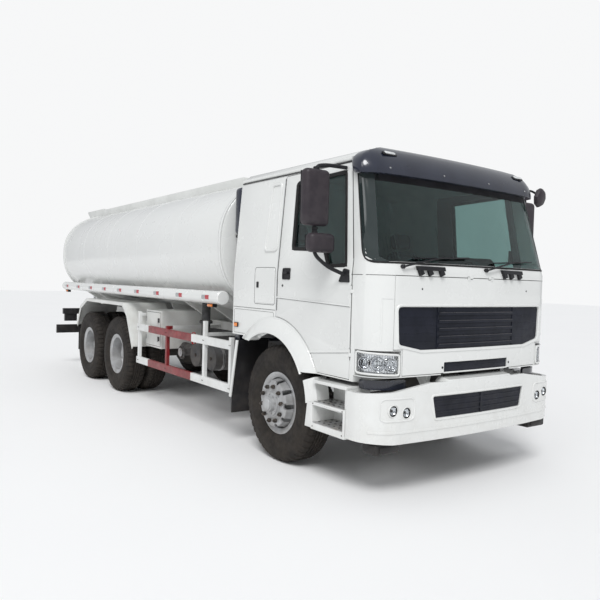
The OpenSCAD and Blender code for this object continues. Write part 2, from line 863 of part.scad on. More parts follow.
// Door outlines in XZ. g opens them out all round.
door_rear = 3160;
door_front = 4265;
door_low = 945;
arch_x = front_axle_x - 75;
arch_z = wheel_r + 42;
arch_in = wheel_r + 68;
arch_out = wheel_r + 218;

module door_outline(g) {
  difference() {
    polygon([[door_rear - g, door_low - g], [door_rear - g, 2700 + g], [door_rear + 30, 2732 + g],
             [4140 + g, 2745 + g], [door_front + g, 1935], [door_front + g, door_low - g]]);
    translate([arch_x, arch_z]) circle(r = arch_out + 2 * door_gap - g);
  }
}

module window_outline(g = 0) {
  polygon([[3355 + g, 2640 - g], [3372 + g, 2024 + g], [3860, 2002 + g], [3930, 1862 + g],
           [4198 - g, 1866 + g], [4085 - g, 2684 - g], [3385 + g, 2662 - g]]);
}

module headlamp_box(g) {
  both_sides() slab([corner_x + 10 - g, flap_hw - 75 - g, lamp_low - g],
                    [4800, 1400, lamp_top + g]);
}

// An arm under the cab's nose with its eye on the tilt shaft.
module tilt_arm() {
  y = rail_y + 40;
  top = sill_z + nose_rise + 10 - tilt_z;
  difference() {
    union() {
      rod_y(40, y, y + 50, tilt_x, tilt_z);
      translate([tilt_x, 0, tilt_z]) along_y(y, y + 50)
        polygon([[-36, -16], [20, 28], [-84, 118], [-60, top], [-230, top], [-130, 60]]);
    }
    rod_y(24 + run_fit, y - 10, y + 70, tilt_x, tilt_z);
  }
}

// The doorway cut through one side wall only, leaving floor, tunnel and roof whole.
module door_cut() {
  intersection() {
    difference() {
      section_solid(-20);
      section_solid(wall + 3);
    }
    along_y(500, 2000) door_outline(door_gap);
  }
}

module cab_shell() {
  color("#f0f2f2") flap_hinge(true);
  color("#f0f2f2") both_sides() door_hinge(true);
  color("#f0f2f2") difference() {
    union() {
      difference() {
        cab_outer();
        cab_inner();
        cab_under();
      }
      both_sides() tilt_arm();
    }
    both_sides() door_cut();
    screen_cut();
    intersection() {
      difference() {
        plan_solid(-20, -20);
        plan_solid(fire_wall - 40, fire_wall - 40);
      }
      flap_box(door_gap);
    }
    intersection() {
      difference() {
        plan_solid(-20, -20);
        plan_solid(70, 70);
      }
      headlamp_box(0);
    }
    slab([4440, -tunnel_y, 500], [4800, tunnel_y, rail_top + 25]);
    hinge_notch();
    both_sides() door_notch();
  }
}

module windscreen() {
  color([0.35, 0.55, 0.55, 0.4]) intersection() {
    front_ring(6, 6 + glass_t);
    screen_cut();
    section_solid(4);
  }
}

module sun_visor() {
  color("#262b3a") difference() {
    intersection() {
      plan_solid(-70, -70);
      along_y(-1120, 1120) polygon([[4190, roof_z - 322], [4600, roof_z - 322],
        [4500, roof_z - 200], [4400, roof_z - 110], [4260, roof_z - 75], [4190, roof_z - 80]]);
    }
    cab_outer();
  }
}

module headlamps() {
  color("#dfe3e6") intersection() {
    front_ring(4, 70);
    headlamp_box(0);
    section_solid(4);
  }
}

// Flared arches on the cab's flanks, ended above the sill and behind the wheel.
module wheel_arches() {
  band = [[arch_in, 1110], [arch_in, arch_hw], [arch_in + 30, arch_hw], [arch_out, cab_hw + 8],
          [arch_out, 1110]];
  color("#eef1f1") both_sides() difference() {
    translate([arch_x, 0, arch_z]) rotate([-90, 0, 0]) rotate_extrude($fn = 240) polygon(band);
    slab([2000, 0, -200], [4600, 2000, sill_z]);
    slab([2000, 0, -200], [front_axle_x, 2000, cab_floor - 30]);
    cab_lower_side();
  }
}

// What is left of the cab's side wall round the arch.
module cab_lower_side() {
  difference() {
    slab([2200, 1000, 800], [4300, cab_hw, 1700]);
    rod_y(house_r, 900, 2000, front_axle_x, wheel_r + 10);
    slab([2200, 900, 500], [front_axle_x + 400, 2000, cab_floor]);
  }
}

seat_y = 750;
seat_x = 3010;

module seats() {
  color("#3b3f46") both_sides() {
    translate([seat_x, seat_y, 0]) {
      slab([0, -235, 1400], [490, 235, 1530]);
      along_y(-230, 230) polygon([[-20, 1500], [120, 1500], [-30, 2200], [-150, 2200]]);
    }
    difference() {
      slab([seat_x + 40, seat_y - 160, cab_floor + 40], [seat_x + 400, seat_y + 160, 1401]);
      cab_under(48);
    }
  }
}

module dashboard() {
  color("#4a4e55") difference() {
    intersection() {
      along_y(-1095, 1095) polygon([[4500, 1500], [4500, belt_z - 20], [4180, belt_z - 40],
        [4080, 1700], [4120, 1500]]);
      plan_solid(fire_wall, fire_wall);
    }
    column() translate([0, 0, -500]) cylinder(r = 22 + run_fit, h = 700);
  }
}

// The steering column's own frame, its Z axis towards the driver.
module column() {
  translate([3760, seat_y, 1800]) rotate([0, -60, 0]) children();
}

hinge_x = cab_front + 1;
hinge_z = flap_top + door_gap / 2;
hinge_r = 7;
pin_r = 3.5;
hinge_w = 30;

// The flap's hinge on the right: fixed lugs with pins when fixed, eyes round them when not.
module flap_hinge(fixed) {
  lift = fixed ? 1 : -1;
  both_sides() difference() {
    union() {
      y0 = fixed ? 110 : 110 + hinge_w + run_fit;
      rod_y(hinge_r, y0, y0 + hinge_w, hinge_x, hinge_z);
      along_y(y0, y0 + hinge_w) polygon([[hinge_x - 4, hinge_z], [hinge_x + 3, hinge_z],
        [hinge_x + 3, hinge_z + lift * 22], [hinge_x - 6, hinge_z + lift * 22]]);
      if (fixed) rod_y(pin_r, 110, 108 + 2 * hinge_w, hinge_x, hinge_z);
    }
    if (!fixed) rod_y(pin_r + run_fit, 100, 200, hinge_x, hinge_z);
  }
}

module hinge_notch() {
  both_sides() rod_y(hinge_r + door_gap, 104, 116 + 2 * hinge_w, hinge_x, hinge_z);
}

door_pin_x = door_front + door_gap / 2;
door_pin_y = cab_hw + 1;
door_pin_z = [1130, 1650];

// The left door's hinges: lugs with pins on the cab when fixed, eyes on the door when not.
module door_hinge(fixed) {
  out = fixed ? 1 : -1;
  z0 = fixed ? 0 : hinge_w + run_fit;
  for (z = door_pin_z) translate([door_pin_x, door_pin_y, z + z0]) difference() {
    union() {
      cylinder(r = hinge_r, h = hinge_w);
      linear_extrude(height = hinge_w)
        polygon([[0, -4], [out * 24, -6], [out * 24, 3], [0, 3]]);
      if (fixed) cylinder(r = pin_r, h = 2 * hinge_w - 2);
    }
    if (!fixed) translate([0, 0, -hinge_w]) cylinder(r = pin_r + run_fit, h = 3 * hinge_w);
  }
}

module door_notch() {
  for (z = door_pin_z) translate([door_pin_x, door_pin_y, z - door_gap])
    cylinder(r = hinge_r + door_gap, h = 2 * hinge_w + 2 * door_gap);
}

module front_flap() {
  mesh = [[-693, 1189], [693, 1189], [936, 1241], [955, 1565], [-955, 1565], [-936, 1241]];
  color("#f0f2f2") difference() {
    intersection() {
      front_ring(0, 34);
      flap_box(0);
    }
    along_x(4200, 5200) polygon(mesh);
    slab([4300, -430, flap_low - eps], [5200, 430, 1092]);
    hinge_notch();
  }
  color("#f0f2f2") flap_hinge(false);
}

module front_grille() {
  mesh = [[-693, 1189], [693, 1189], [936, 1241], [955, 1565], [-955, 1565], [-936, 1241]];
  color("#15171a") intersection() {
    difference() {
      front_ring(14, 34);
      for (i = [0:4]) slab([4700, -2000, 1230 + 66 * i], [4701, 2000, 1260 + 66 * i]);
    }
    union() {
      along_x(4200, 5200) polygon(mesh);
      slab([4300, -430, flap_low], [5200, 430, 1092]);
    }
  }
}

// ---- Doors and mirrors -------------------------------------------------------

module door(side) {
  color("#f0f2f2") on_side(side) {
    door_hinge(false);
    difference() {
      intersection() {
        difference() {
          section_solid(0);
          section_solid(wall - 3);
        }
        along_y(500, 2000) door_outline(0);
      }
      along_y(0, 2000) window_outline();
      door_notch();
    }
  }
}

module door_glass(side) {
  color([0.35, 0.55, 0.55, 0.4]) on_side(side) intersection() {
    difference() {
      section_solid(22);
      section_solid(22 + glass_t);
    }
    along_y(500, 2000) window_outline();
  }
}

module mirrors(side) {
  mx = 4060;
  y = cab_hw + 240;
  color("#1d1f22") on_side(side) difference() {
    union() {
      slab([mx - 45, y - 90, 2150], [mx + 50, y + 100, 2670]);
      slab([mx - 40, y - 90, 1970], [mx + 60, y + 100, 2110]);
      bar([mx, y, 1960], [mx, y, 2200], 16);
      bar([mx, y, 1980], [mx + 120, cab_hw - 5, 1800], 16);
      bar([mx, y, 2600], [mx + 20, cab_hw - 90, 2700], 14);
      rod_y(45, cab_hw - 20, cab_hw + 14, mx + 120, 1800);
    }
    section_solid(0);
  }
}

module steering_wheel() {
  color("#1d1f22") column() {
    rotate_extrude() translate([215, 0]) circle(r = 16, $fn = 32);
    slab([-205, -18, -10], [205, 18, 8]);
    slab([-18, -205, -10], [18, 0, 8]);
    cylinder(r = 45, h = 30, center = true);
    translate([0, 0, -420]) cylinder(r = 22, h = 410);
  }
}

// ---- Assembly ----------------------------------------------------------------

chassis_frame();
cross_members();
front_bumper();
bumper_grille();
fog_lamps();
step_boxes();
front_mudflaps();
front_axle();
drive_axles();
leaf_springs();
engine_block();
gearbox();
propshafts();
fuel_tank();
tool_box();
pump_pipework();
air_reservoirs();
air_intake();
cradle_sills();
tank_saddles();
tank();
tank_walkway();
tube_brackets();
hose_tubes();
side_guards();
rear_mudguards();
rear_bars();
rear_ladder();
manhole_lid();
cab_shell();
windscreen();
sun_visor();
headlamps();
wheel_arches();
seats();
dashboard();
front_flap();
front_grille();
door(1);  // door_left
door(-1);  // door_right
door_glass(1);  // door_glass_left
door_glass(-1);  // door_glass_right
mirrors(1);  // mirrors_left
mirrors(-1);  // mirrors_right
steering_wheel();
knuckle(1);  // knuckle_left
knuckle(-1);  // knuckle_right
tyre_front(1);  // tyre_front_left
tyre_front(-1);  // tyre_front_right
tyres_twin(mid_x, 1);  // tyres_mid_left
tyres_twin(mid_x, -1);  // tyres_mid_right
tyres_twin(rear_x, 1);  // tyres_rear_left
tyres_twin(rear_x, -1);  // tyres_rear_right
wheel_front(1);  // wheel_front_left
wheel_front(-1);  // wheel_front_right
wheels_twin(mid_x, 1);  // wheels_mid_left
wheels_twin(mid_x, -1);  // wheels_mid_right
wheels_twin(rear_x, 1);  // wheels_rear_left
wheels_twin(rear_x, -1);  // wheels_rear_right
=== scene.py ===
import bpy, bmesh, json, math
import numpy as np
from mathutils import Matrix, Vector

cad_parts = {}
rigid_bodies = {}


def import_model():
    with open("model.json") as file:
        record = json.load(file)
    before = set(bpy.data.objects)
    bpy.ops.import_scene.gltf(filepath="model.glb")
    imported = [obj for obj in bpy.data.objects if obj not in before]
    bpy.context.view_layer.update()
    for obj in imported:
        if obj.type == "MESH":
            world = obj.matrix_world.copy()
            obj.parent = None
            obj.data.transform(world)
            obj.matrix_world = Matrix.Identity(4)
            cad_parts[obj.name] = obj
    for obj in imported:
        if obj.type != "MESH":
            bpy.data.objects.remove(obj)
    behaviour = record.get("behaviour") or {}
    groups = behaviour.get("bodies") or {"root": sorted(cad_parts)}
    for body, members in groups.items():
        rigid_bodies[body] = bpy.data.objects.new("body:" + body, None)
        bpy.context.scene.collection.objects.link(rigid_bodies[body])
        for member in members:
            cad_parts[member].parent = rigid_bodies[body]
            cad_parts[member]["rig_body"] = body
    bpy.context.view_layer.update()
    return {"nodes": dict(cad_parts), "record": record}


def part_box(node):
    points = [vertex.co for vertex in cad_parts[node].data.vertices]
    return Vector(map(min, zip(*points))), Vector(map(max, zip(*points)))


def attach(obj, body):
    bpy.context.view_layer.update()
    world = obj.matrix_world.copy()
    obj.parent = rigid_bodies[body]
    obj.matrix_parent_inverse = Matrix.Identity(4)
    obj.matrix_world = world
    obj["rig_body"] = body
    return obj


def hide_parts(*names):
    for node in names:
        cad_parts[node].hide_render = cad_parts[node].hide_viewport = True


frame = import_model()
NODE = frame["nodes"]
rad = math.radians

# ---------------------------------------------------------------- materials


class Mat:
    """Builds one procedural material from noise in the part's own frame."""

    def __init__(s, name):
        s.m = bpy.data.materials.new(name)
        s.m.use_nodes = True
        s.t = s.m.node_tree
        s.b = s.t.nodes["Principled BSDF"]
        s.co = s.t.nodes.new("ShaderNodeTexCoord").outputs["Object"]

    def put(s, kind, **v):
        n = s.t.nodes.new(kind)
        for k, x in v.items():
            setattr(n, k, x)
        return n

    def link(s, a, b):
        s.t.links.new(a, b)

    def noise(s, size, detail=3.0, stretch=None, rough=0.55):
        n = s.put("ShaderNodeTexNoise")
        n.inputs["Scale"].default_value = 1 / size
        n.inputs["Detail"].default_value = detail
        n.inputs["Roughness"].default_value = rough
        if stretch:
            mp = s.put("ShaderNodeMapping")
            mp.inputs["Scale"].default_value = stretch
            s.link(s.co, mp.inputs["Vector"])
            s.link(mp.outputs[0], n.inputs["Vector"])
        else:
            s.link(s.co, n.inputs["Vector"])
        return n.outputs["Fac"]

    def ramp(s, src, a, b, lo=0.0, hi=1.0, smooth=False):
        n = s.put("ShaderNodeMapRange")
        if smooth:
            n.interpolation_type = "SMOOTHSTEP"
        for i, v in enumerate((a, b, lo, hi)):
            n.inputs[i + 1].default_value = v
        s.link(src, n.inputs[0])
        return n.outputs[0]

    def math(s, op, a, b):
        n = s.put("ShaderNodeMath", operation=op)
        for i, v in enumerate((a, b)):
            if isinstance(v, (int, float)):
                n.inputs[i].default_value = v
            else:
                s.link(v, n.inputs[i])
        return n.outputs[0]

    def mix(s, f, a, b):
        n = s.put("ShaderNodeMix", data_type="RGBA")
        s.link(f, n.inputs[0])
        for i, v in ((6, a), (7, b)):
            if isinstance(v, tuple):
                n.inputs[i].default_value = (*v, 1)
            else:
                s.link(v, n.inputs[i])
        return n.outputs[2]

    def axis(s, i):
        n = s.put("ShaderNodeSeparateXYZ")
        s.link(s.co, n.inputs[0])
        return n.outputs[i]

    def bump(s, src, dist, strength=1.0):
        n = s.put("ShaderNodeBump")
        n.inputs["Distance"].default_value = dist
        n.inputs["Strength"].default_value = strength
        s.link(src, n.inputs["Height"])
        s.link(n.outputs[0], s.b.inputs["Normal"])

    def put_in(s, **v):
        for k, x in v.items():
            k = k.replace("_", " ")
            if isinstance(x, (int, float, tuple)):
                s.b.inputs[k].default_value = (*x, 1) if isinstance(x, tuple) else x
            else:
                s.link(x, s.b.inputs[k])


def make(name, col, alt, size=0.6, rough=(0.3, 0.45), dust=0.0, dust_z=(1.6, 0.3),
         dust_col=(0.36, 0.31, 0.25), fine=0.003, depth=0.0001, stretch=None, detail=4.0, **k):
    """Paint, plastic, rubber or metal: two tones in patches, dust near the ground, fine relief."""
    m = Mat(name)
    c = m.mix(m.ramp(m.noise(size, detail, stretch), 0.36, 0.64, smooth=True), col, alt)
    r = m.ramp(m.noise(size * 0.31, 5, stretch), 0.3, 0.7, *rough)
    if dust:
        low = m.ramp(m.axis(2), dust_z[0], dust_z[1], 0, 1, smooth=True)
        d = m.math("MULTIPLY", m.math("MULTIPLY", low, dust),
                   m.ramp(m.noise(0.12, 7), 0.3, 0.68))
        c = m.mix(d, c, dust_col)
        r = m.math("ADD", r, m.math("MULTIPLY", d, 0.3))
    m.put_in(Base_Color=c, Roughness=r, **k)
    m.bump(m.noise(fine, 2), depth, 0.6)
    return m.m


WHITE = make("white_enamel", (0.79, 0.80, 0.785), (0.765, 0.775, 0.76), 0.9, (0.20, 0.30), 0.16,
             (1.3, 0.2), fine=0.006, depth=0.00012, Coat_Weight=0.6, Coat_Roughness=0.08)
WHITE2 = make("white_chassis_enamel", (0.74, 0.75, 0.73), (0.68, 0.69, 0.67), 0.35, (0.32, 0.5),
              0.32, (2.2, 0.3), fine=0.004, depth=0.0003, Coat_Weight=0.2, Coat_Roughness=0.2)
TANKW = make("tank_enamel", (0.78, 0.79, 0.78), (0.755, 0.765, 0.75), 2.4, (0.22, 0.34), 0.14,
             (2.1, 1.2), fine=0.9, depth=0.0002, Coat_Weight=0.5, Coat_Roughness=0.1)
DARK = make("frame_enamel", (0.055, 0.058, 0.064), (0.03, 0.031, 0.034), 0.2, (0.4, 0.62), 0.3,
            (1.5, 0.3), fine=0.004, depth=0.0003)
BLACK = make("black_enamel", (0.022, 0.022, 0.025), (0.012, 0.012, 0.014), 0.2, (0.34, 0.55),
             0.08, (1.4, 0.3), fine=0.003, depth=0.0002, Specular_IOR_Level=0.3)
PLUM = make("mirror_housing_plastic", (0.032, 0.026, 0.032), (0.045, 0.037, 0.043), 0.1,
            (0.36, 0.52), fine=0.0016, depth=0.0003, Specular_IOR_Level=0.35)
GRILLE = make("grille_plastic", (0.007, 0.009, 0.016), (0.012, 0.014, 0.024), 0.15, (0.32, 0.5),
              0.03, (1.4, 0.6), fine=0.0016, depth=0.0002, Specular_IOR_Level=0.22)
NAVY = make("visor_gloss_plastic", (0.013, 0.016, 0.030), (0.019, 0.023, 0.040), 0.3,
            (0.16, 0.28), fine=0.01, depth=0.00008, Coat_Weight=0.7, Coat_Roughness=0.05)
RUBBER = make("seal_rubber", (0.014, 0.014, 0.015), (0.022, 0.021, 0.021), 0.05, (0.55, 0.75),
              fine=0.0015, depth=0.0002, Specular_IOR_Level=0.25)
TYRE = make("tyre_rubber_dusty", (0.018, 0.016, 0.015), (0.030, 0.026, 0.023), 0.1, (0.62, 0.85),
            0.28, (1.3, -0.2), (0.10, 0.082,
                                0.064), fine=0.003, depth=0.0005, Specular_IOR_Level=0.25)
RIM = make("wheel_silver_paint", (0.50, 0.51, 0.52), (0.42, 0.425, 0.43), 0.12, (0.34, 0.5), 0.35,
           (1.2, 0.0), (0.22, 0.18, 0.14), fine=0.0025, depth=0.0002, Metallic=0.45)
STEEL = make("bare_steel", (0.50, 0.50, 0.51), (0.36, 0.355, 0.35), 0.05, (0.3, 0.5), 0.2,
             (1.2, 0.2), fine=0.001, depth=0.0001, Metallic=1.0)
NUT = make("blackened_steel", (0.07, 0.065, 0.06), (0.12, 0.10, 0.085), 0.03, (0.4, 0.6),
           fine=0.001, depth=0.0002, Metallic=0.8)
CHROME = make("lamp_chrome", (0.82, 0.83, 0.84), (0.74, 0.75, 0.77), 0.05, (0.04, 0.12),
              fine=0.02, depth=0.0002, Metallic=1.0)
ALU = make("brushed_aluminium", (0.62, 0.63, 0.64), (0.52, 0.53, 0.54), 0.02, (0.28, 0.42), 0.3,
           (1.3, 0.2), fine=0.0012, depth=0.0001, stretch=(0.05, 1, 1), Metallic=0.9)
IRON = make("cast_iron_paint", (0.075, 0.077, 0.08), (0.045, 0.045, 0.046), 0.08, (0.5, 0.75),
            0.3, (1.4, 0.3), fine=0.004, depth=0.0008)
TRIM = make("cab_trim_plastic", (0.10, 0.105, 0.115), (0.085, 0.09, 0.098), 0.3, (0.5, 0.65),
            fine=0.002, depth=0.0004)
LINING = make("cab_lining_felt", (0.55, 0.56, 0.57), (0.50, 0.51, 0.52), 0.2, (0.8, 0.95),
              fine=0.0012, depth=0.0004, Sheen_Weight=0.2)
AMBER = make("amber_lens", (0.85, 0.24, 0.02), (0.72, 0.18, 0.01), 0.02, (0.08, 0.16),
             fine=0.004, depth=0.0004, Coat_Weight=0.8)
REDLENS = make("red_lens", (0.55, 0.012, 0.012), (0.42, 0.008, 0.008), 0.02, (0.08, 0.16),
               fine=0.004, depth=0.0004, Coat_Weight=0.8)
WHITELENS = make("white_lens", (0.80, 0.81, 0.80), (0.68, 0.70, 0.71), 0.015, (0.06, 0.14),
                 fine=0.004, depth=0.0005, Coat_Weight=0.8)
TAPE_R = make("red_reflective_tape", (0.50, 0.016, 0.03), (0.40, 0.012, 0.022), 0.01,
              (0.2, 0.35), 0.2, (1.3, 0.3), fine=0.004, depth=0.0002, Coat_Weight=0.4)
SILVER_TAPE = make("silver_reflective_tape", (0.42, 0.43, 0.43), (0.34, 0.35, 0.36), 0.01,
                   (0.2, 0.35), 0.2, (1.3, 0.3), fine=0.004, depth=0.0002, Coat_Weight=0.4)
SLAT = make("grille_slat_edge", (0.055, 0.055, 0.062), (0.035, 0.035, 0.042), 0.1, (0.25, 0.4),
            fine=0.002, depth=0.0001, Metallic=0.3)
FRIT = make("dark_glass_border", (0.020, 0.030, 0.030), (0.028, 0.038, 0.038), 0.4, (0.05, 0.12),
            fine=0.3, depth=0.0002, Coat_Weight=0.6)
# Dark grey that paints shade: in panel gaps, in holes, and in lines under creases and the gutter.
PAINTED_SHADE = make("painted_shade_grey", (0.045, 0.045, 0.047), (0.07, 0.07, 0.07), 0.05, (0.6, 0.8),
            fine=0.002, depth=0.0002)
MIRROR = make("mirror_glass", (0.60, 0.63, 0.65), (0.56, 0.59, 0.62), 0.3, (0.01, 0.03),
              fine=0.05, depth=0.00002, Metallic=1.0)


def glass(name, col, ior=1.45, rough=(0.0, 0.03)):
    m = Mat(name)
    m.put_in(Base_Color=m.mix(m.ramp(m.noise(0.7), 0.4, 0.6), col, tuple(x * 0.94 for x in col)),
             Roughness=m.ramp(m.noise(0.05, 5), 0.45, 0.75, *rough),
             Transmission_Weight=1.0, IOR=ior)
    m.bump(m.noise(0.35, 1), 0.0006, 0.5)
    return m.m


GLASS = glass("green_tinted_glass", (0.50, 0.68, 0.65))
CLEAR = glass("clear_lens", (0.93, 0.95, 0.96), 1.4)


def banded(name, col, alt, lo, hi, dust=0.15):
    """White enamel with a painted band between two x values."""
    m = Mat(name)
    x = m.axis(0)
    band = m.math("MULTIPLY", m.math("GREATER_THAN", x, lo), m.math("LESS_THAN", x, hi))
    band = m.math("MULTIPLY", band, m.math("GREATER_THAN", m.math("ABSOLUTE", m.axis(1), 0), 1.12))
    base = m.mix(m.ramp(m.noise(0.3), 0.4, 0.6), (0.77, 0.78, 0.77), (0.70, 0.71, 0.70))
    red = m.mix(m.ramp(m.noise(0.1), 0.4, 0.6), col, alt)
    d = m.math("MULTIPLY", m.ramp(m.noise(0.09, 7), 0.42, 0.75), dust)
    m.put_in(Base_Color=m.mix(d, m.mix(band, base, red), (0.36, 0.31, 0.25)),
             Roughness=m.ramp(m.noise(0.2, 5), 0.3, 0.7, 0.3, 0.5), Coat_Weight=0.1,
             Coat_Roughness=0.2)
    m.bump(m.noise(0.004, 2), 0.0003, 0.6)
    return m.m


def cloth(name, col, alt):
    m = Mat(name)
    w = m.put("ShaderNodeTexWave", wave_type="BANDS", bands_direction="DIAGONAL")
    w.inputs["Scale"].default_value = 160
    w.inputs["Distortion"].default_value = 1.5
    m.link(m.co, w.inputs["Vector"])
    v = m.put("ShaderNodeTexVoronoi")
    v.inputs["Scale"].default_value = 420
    m.link(m.co, v.inputs["Vector"])
    f = m.math("MULTIPLY", w.outputs["Fac"], m.ramp(m.noise(0.2), 0.3, 0.7, 0.6, 1))
    m.put_in(Base_Color=m.mix(f, col, alt), Roughness=m.ramp(m.noise(0.05), 0.3, 0.7, 0.85, 0.97),
             Sheen_Weight=0.35)
    m.bump(m.math("ADD", v.outputs["Distance"], w.outputs["Fac"]), 0.0006, 0.8)
    return m.m


CLOTH = cloth("woven_seat_cloth", (0.035, 0.04, 0.055), (0.075, 0.085, 0.11))
CLOTH2 = cloth("seat_centre_cloth", (0.09, 0.10, 0.12), (0.15, 0.16, 0.18))


def checker_plate():
    """Aluminium tread plate: raised lozenges over a brushed sheet."""
    m = Mat("tread_plate_aluminium")
    v = m.put("ShaderNodeTexVoronoi", distance="CHEBYCHEV")
    v.inputs["Scale"].default_value = 42
    v.inputs["Randomness"].default_value = 0.0
    m.link(m.co, v.inputs["Vector"])
    d = m.math("MULTIPLY", m.ramp(m.noise(0.1, 6), 0.4, 0.7), 0.5)
    m.put_in(Base_Color=m.mix(d, m.mix(m.ramp(m.noise(0.03), 0.4, 0.6), (0.58, 0.59, 0.6),
                                       (0.5, 0.5, 0.51)), (0.33, 0.28, 0.22)),
             Roughness=m.ramp(m.noise(0.05), 0.3, 0.7, 0.32, 0.5), Metallic=0.85)
    m.bump(m.ramp(v.outputs["Distance"], 0.1, 0.3, 1, 0), 0.002, 0.9)
    return m.m


PLATE = checker_plate()

# The record's material slot that a piece takes its finish from, by its first material.
SLOT = {m.name: slot for slot, group in {
    "white_paint": (WHITE, TANKW), "off_white_paint": (WHITE2,), "frame_paint": (DARK,),
    "black_paint": (BLACK,), "black_plastic": (PLUM, GRILLE, RUBBER), "navy_plastic": (NAVY,),
    "cast_iron": (IRON,), "wheel_paint": (NUT, RIM), "tyre_rubber": (TYRE,),
    "alu": (ALU, STEEL, PLATE, TAPE_R, AMBER), "cab_trim": (TRIM, LINING),
    "seat_cloth": (CLOTH,)}.items() for m in group}

# ---------------------------------------------------------------- mesh tools


def sharp(me, angle):
    me.polygons.foreach_set("use_smooth", [True] * len(me.polygons))
    me.set_sharp_from_angle(angle=rad(angle))
    me.update()


def frame_to(a, b):
    """Matrix whose Z axis runs from a to b, starting at a."""
    a, b = Vector(a), Vector(b)
    q = (b - a).to_track_quat("Z", "Y")
    return Matrix.Translation(a) @ q.to_matrix().to_4x4()


def fillet(pts, r, n=5):
    """Closed 2D outline with its corners rounded; r is one radius or one a corner."""
    out, k = [], len(pts)
    rs = r if isinstance(r, (list, tuple)) else [r] * k
    for i in range(k):
        p, a, b = (Vector(pts[j % k]) for j in (i, i - 1, i + 1))
        u, v = (a - p), (b - p)
        lu, lv = u.length, v.length
        u, v = u / lu, v / lv
        ang = math.acos(max(-1, min(1, u.dot(v))))
        t = min(rs[i] / max(math.tan(ang / 2), 1e-6), lu * 0.48, lv * 0.48)
        if rs[i] <= 0 or ang > rad(175):
            out.append(tuple(p))
            continue
        s, e = p + u * t, p + v * t
        for j in range(n + 1):
            w = j / n
            q = s * (1 - w) ** 2 + p * 2 * w * (1 - w) + e * w * w
            out.append(tuple(q))
    return out


def dense(pts, step):
    """Closed outline with extra points so that no edge is longer than step."""
    out = []
    for i, p in enumerate(pts):
        q = pts[(i + 1) % len(pts)]
        d = math.dist(p, q)
        n = max(1, int(math.ceil(d / step)))
        out += [tuple(p[k] + (q[k] - p[k]) * j / n for k in range(2)) for j in range(n)]
    return out


def shift(pts, d):
    """Closed 2D outline moved d to its right-hand side when walked in order."""
    k, out = len(pts), []
    for i in range(k):
        a, p, b = (np.array(pts[j % k], float) for j in (i - 1, i, i + 1))
        u, v = p - a, b - p
        u, v = u / max(np.linalg.norm(u), 1e-9), v / max(np.linalg.norm(v), 1e-9)
        n = np.array([u[1] + v[1], -u[0] - v[0]])
        n = n / max(np.linalg.norm(n), 1e-9)
        c = max(0.5, n @ np.array([u[1], -u[0]]))
        out.append(tuple(p + n * d / c))
    return out


def area(pts):
    return sum(a[0] * b[1] - b[0] * a[1] for a, b in zip(pts, pts[1:] + pts[:1])) / 2


def turned(bm, rows, n):
    """Faces between rings of n points, any of which may be a single point at a pole."""
    for a, b in zip(rows, rows[1:]):
        for j in range(n):
            k = (j + 1) % n
            f = [a[j % len(a)], a[k % len(a)], b[k % len(b)], b[j % len(b)]]
            f = [v for i, v in enumerate(f) if v not in f[:i]]
            if len(f) > 2:
                bm.faces.new(f)


def show(bm, name, mesh_name, mats, angle, body, slot, replaces=()):
    """The mesh as an object with its materials, riding on a body."""
    me = bpy.data.meshes.new(mesh_name)
    bm.to_mesh(me)
    bm.free()
    for x in mats:
        me.materials.append(x)
    sharp(me, angle)
    o = bpy.data.objects.new(name, me)
    bpy.context.scene.collection.objects.link(o)
    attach(o, body)
    if replaces:
        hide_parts(*replaces)
    return o


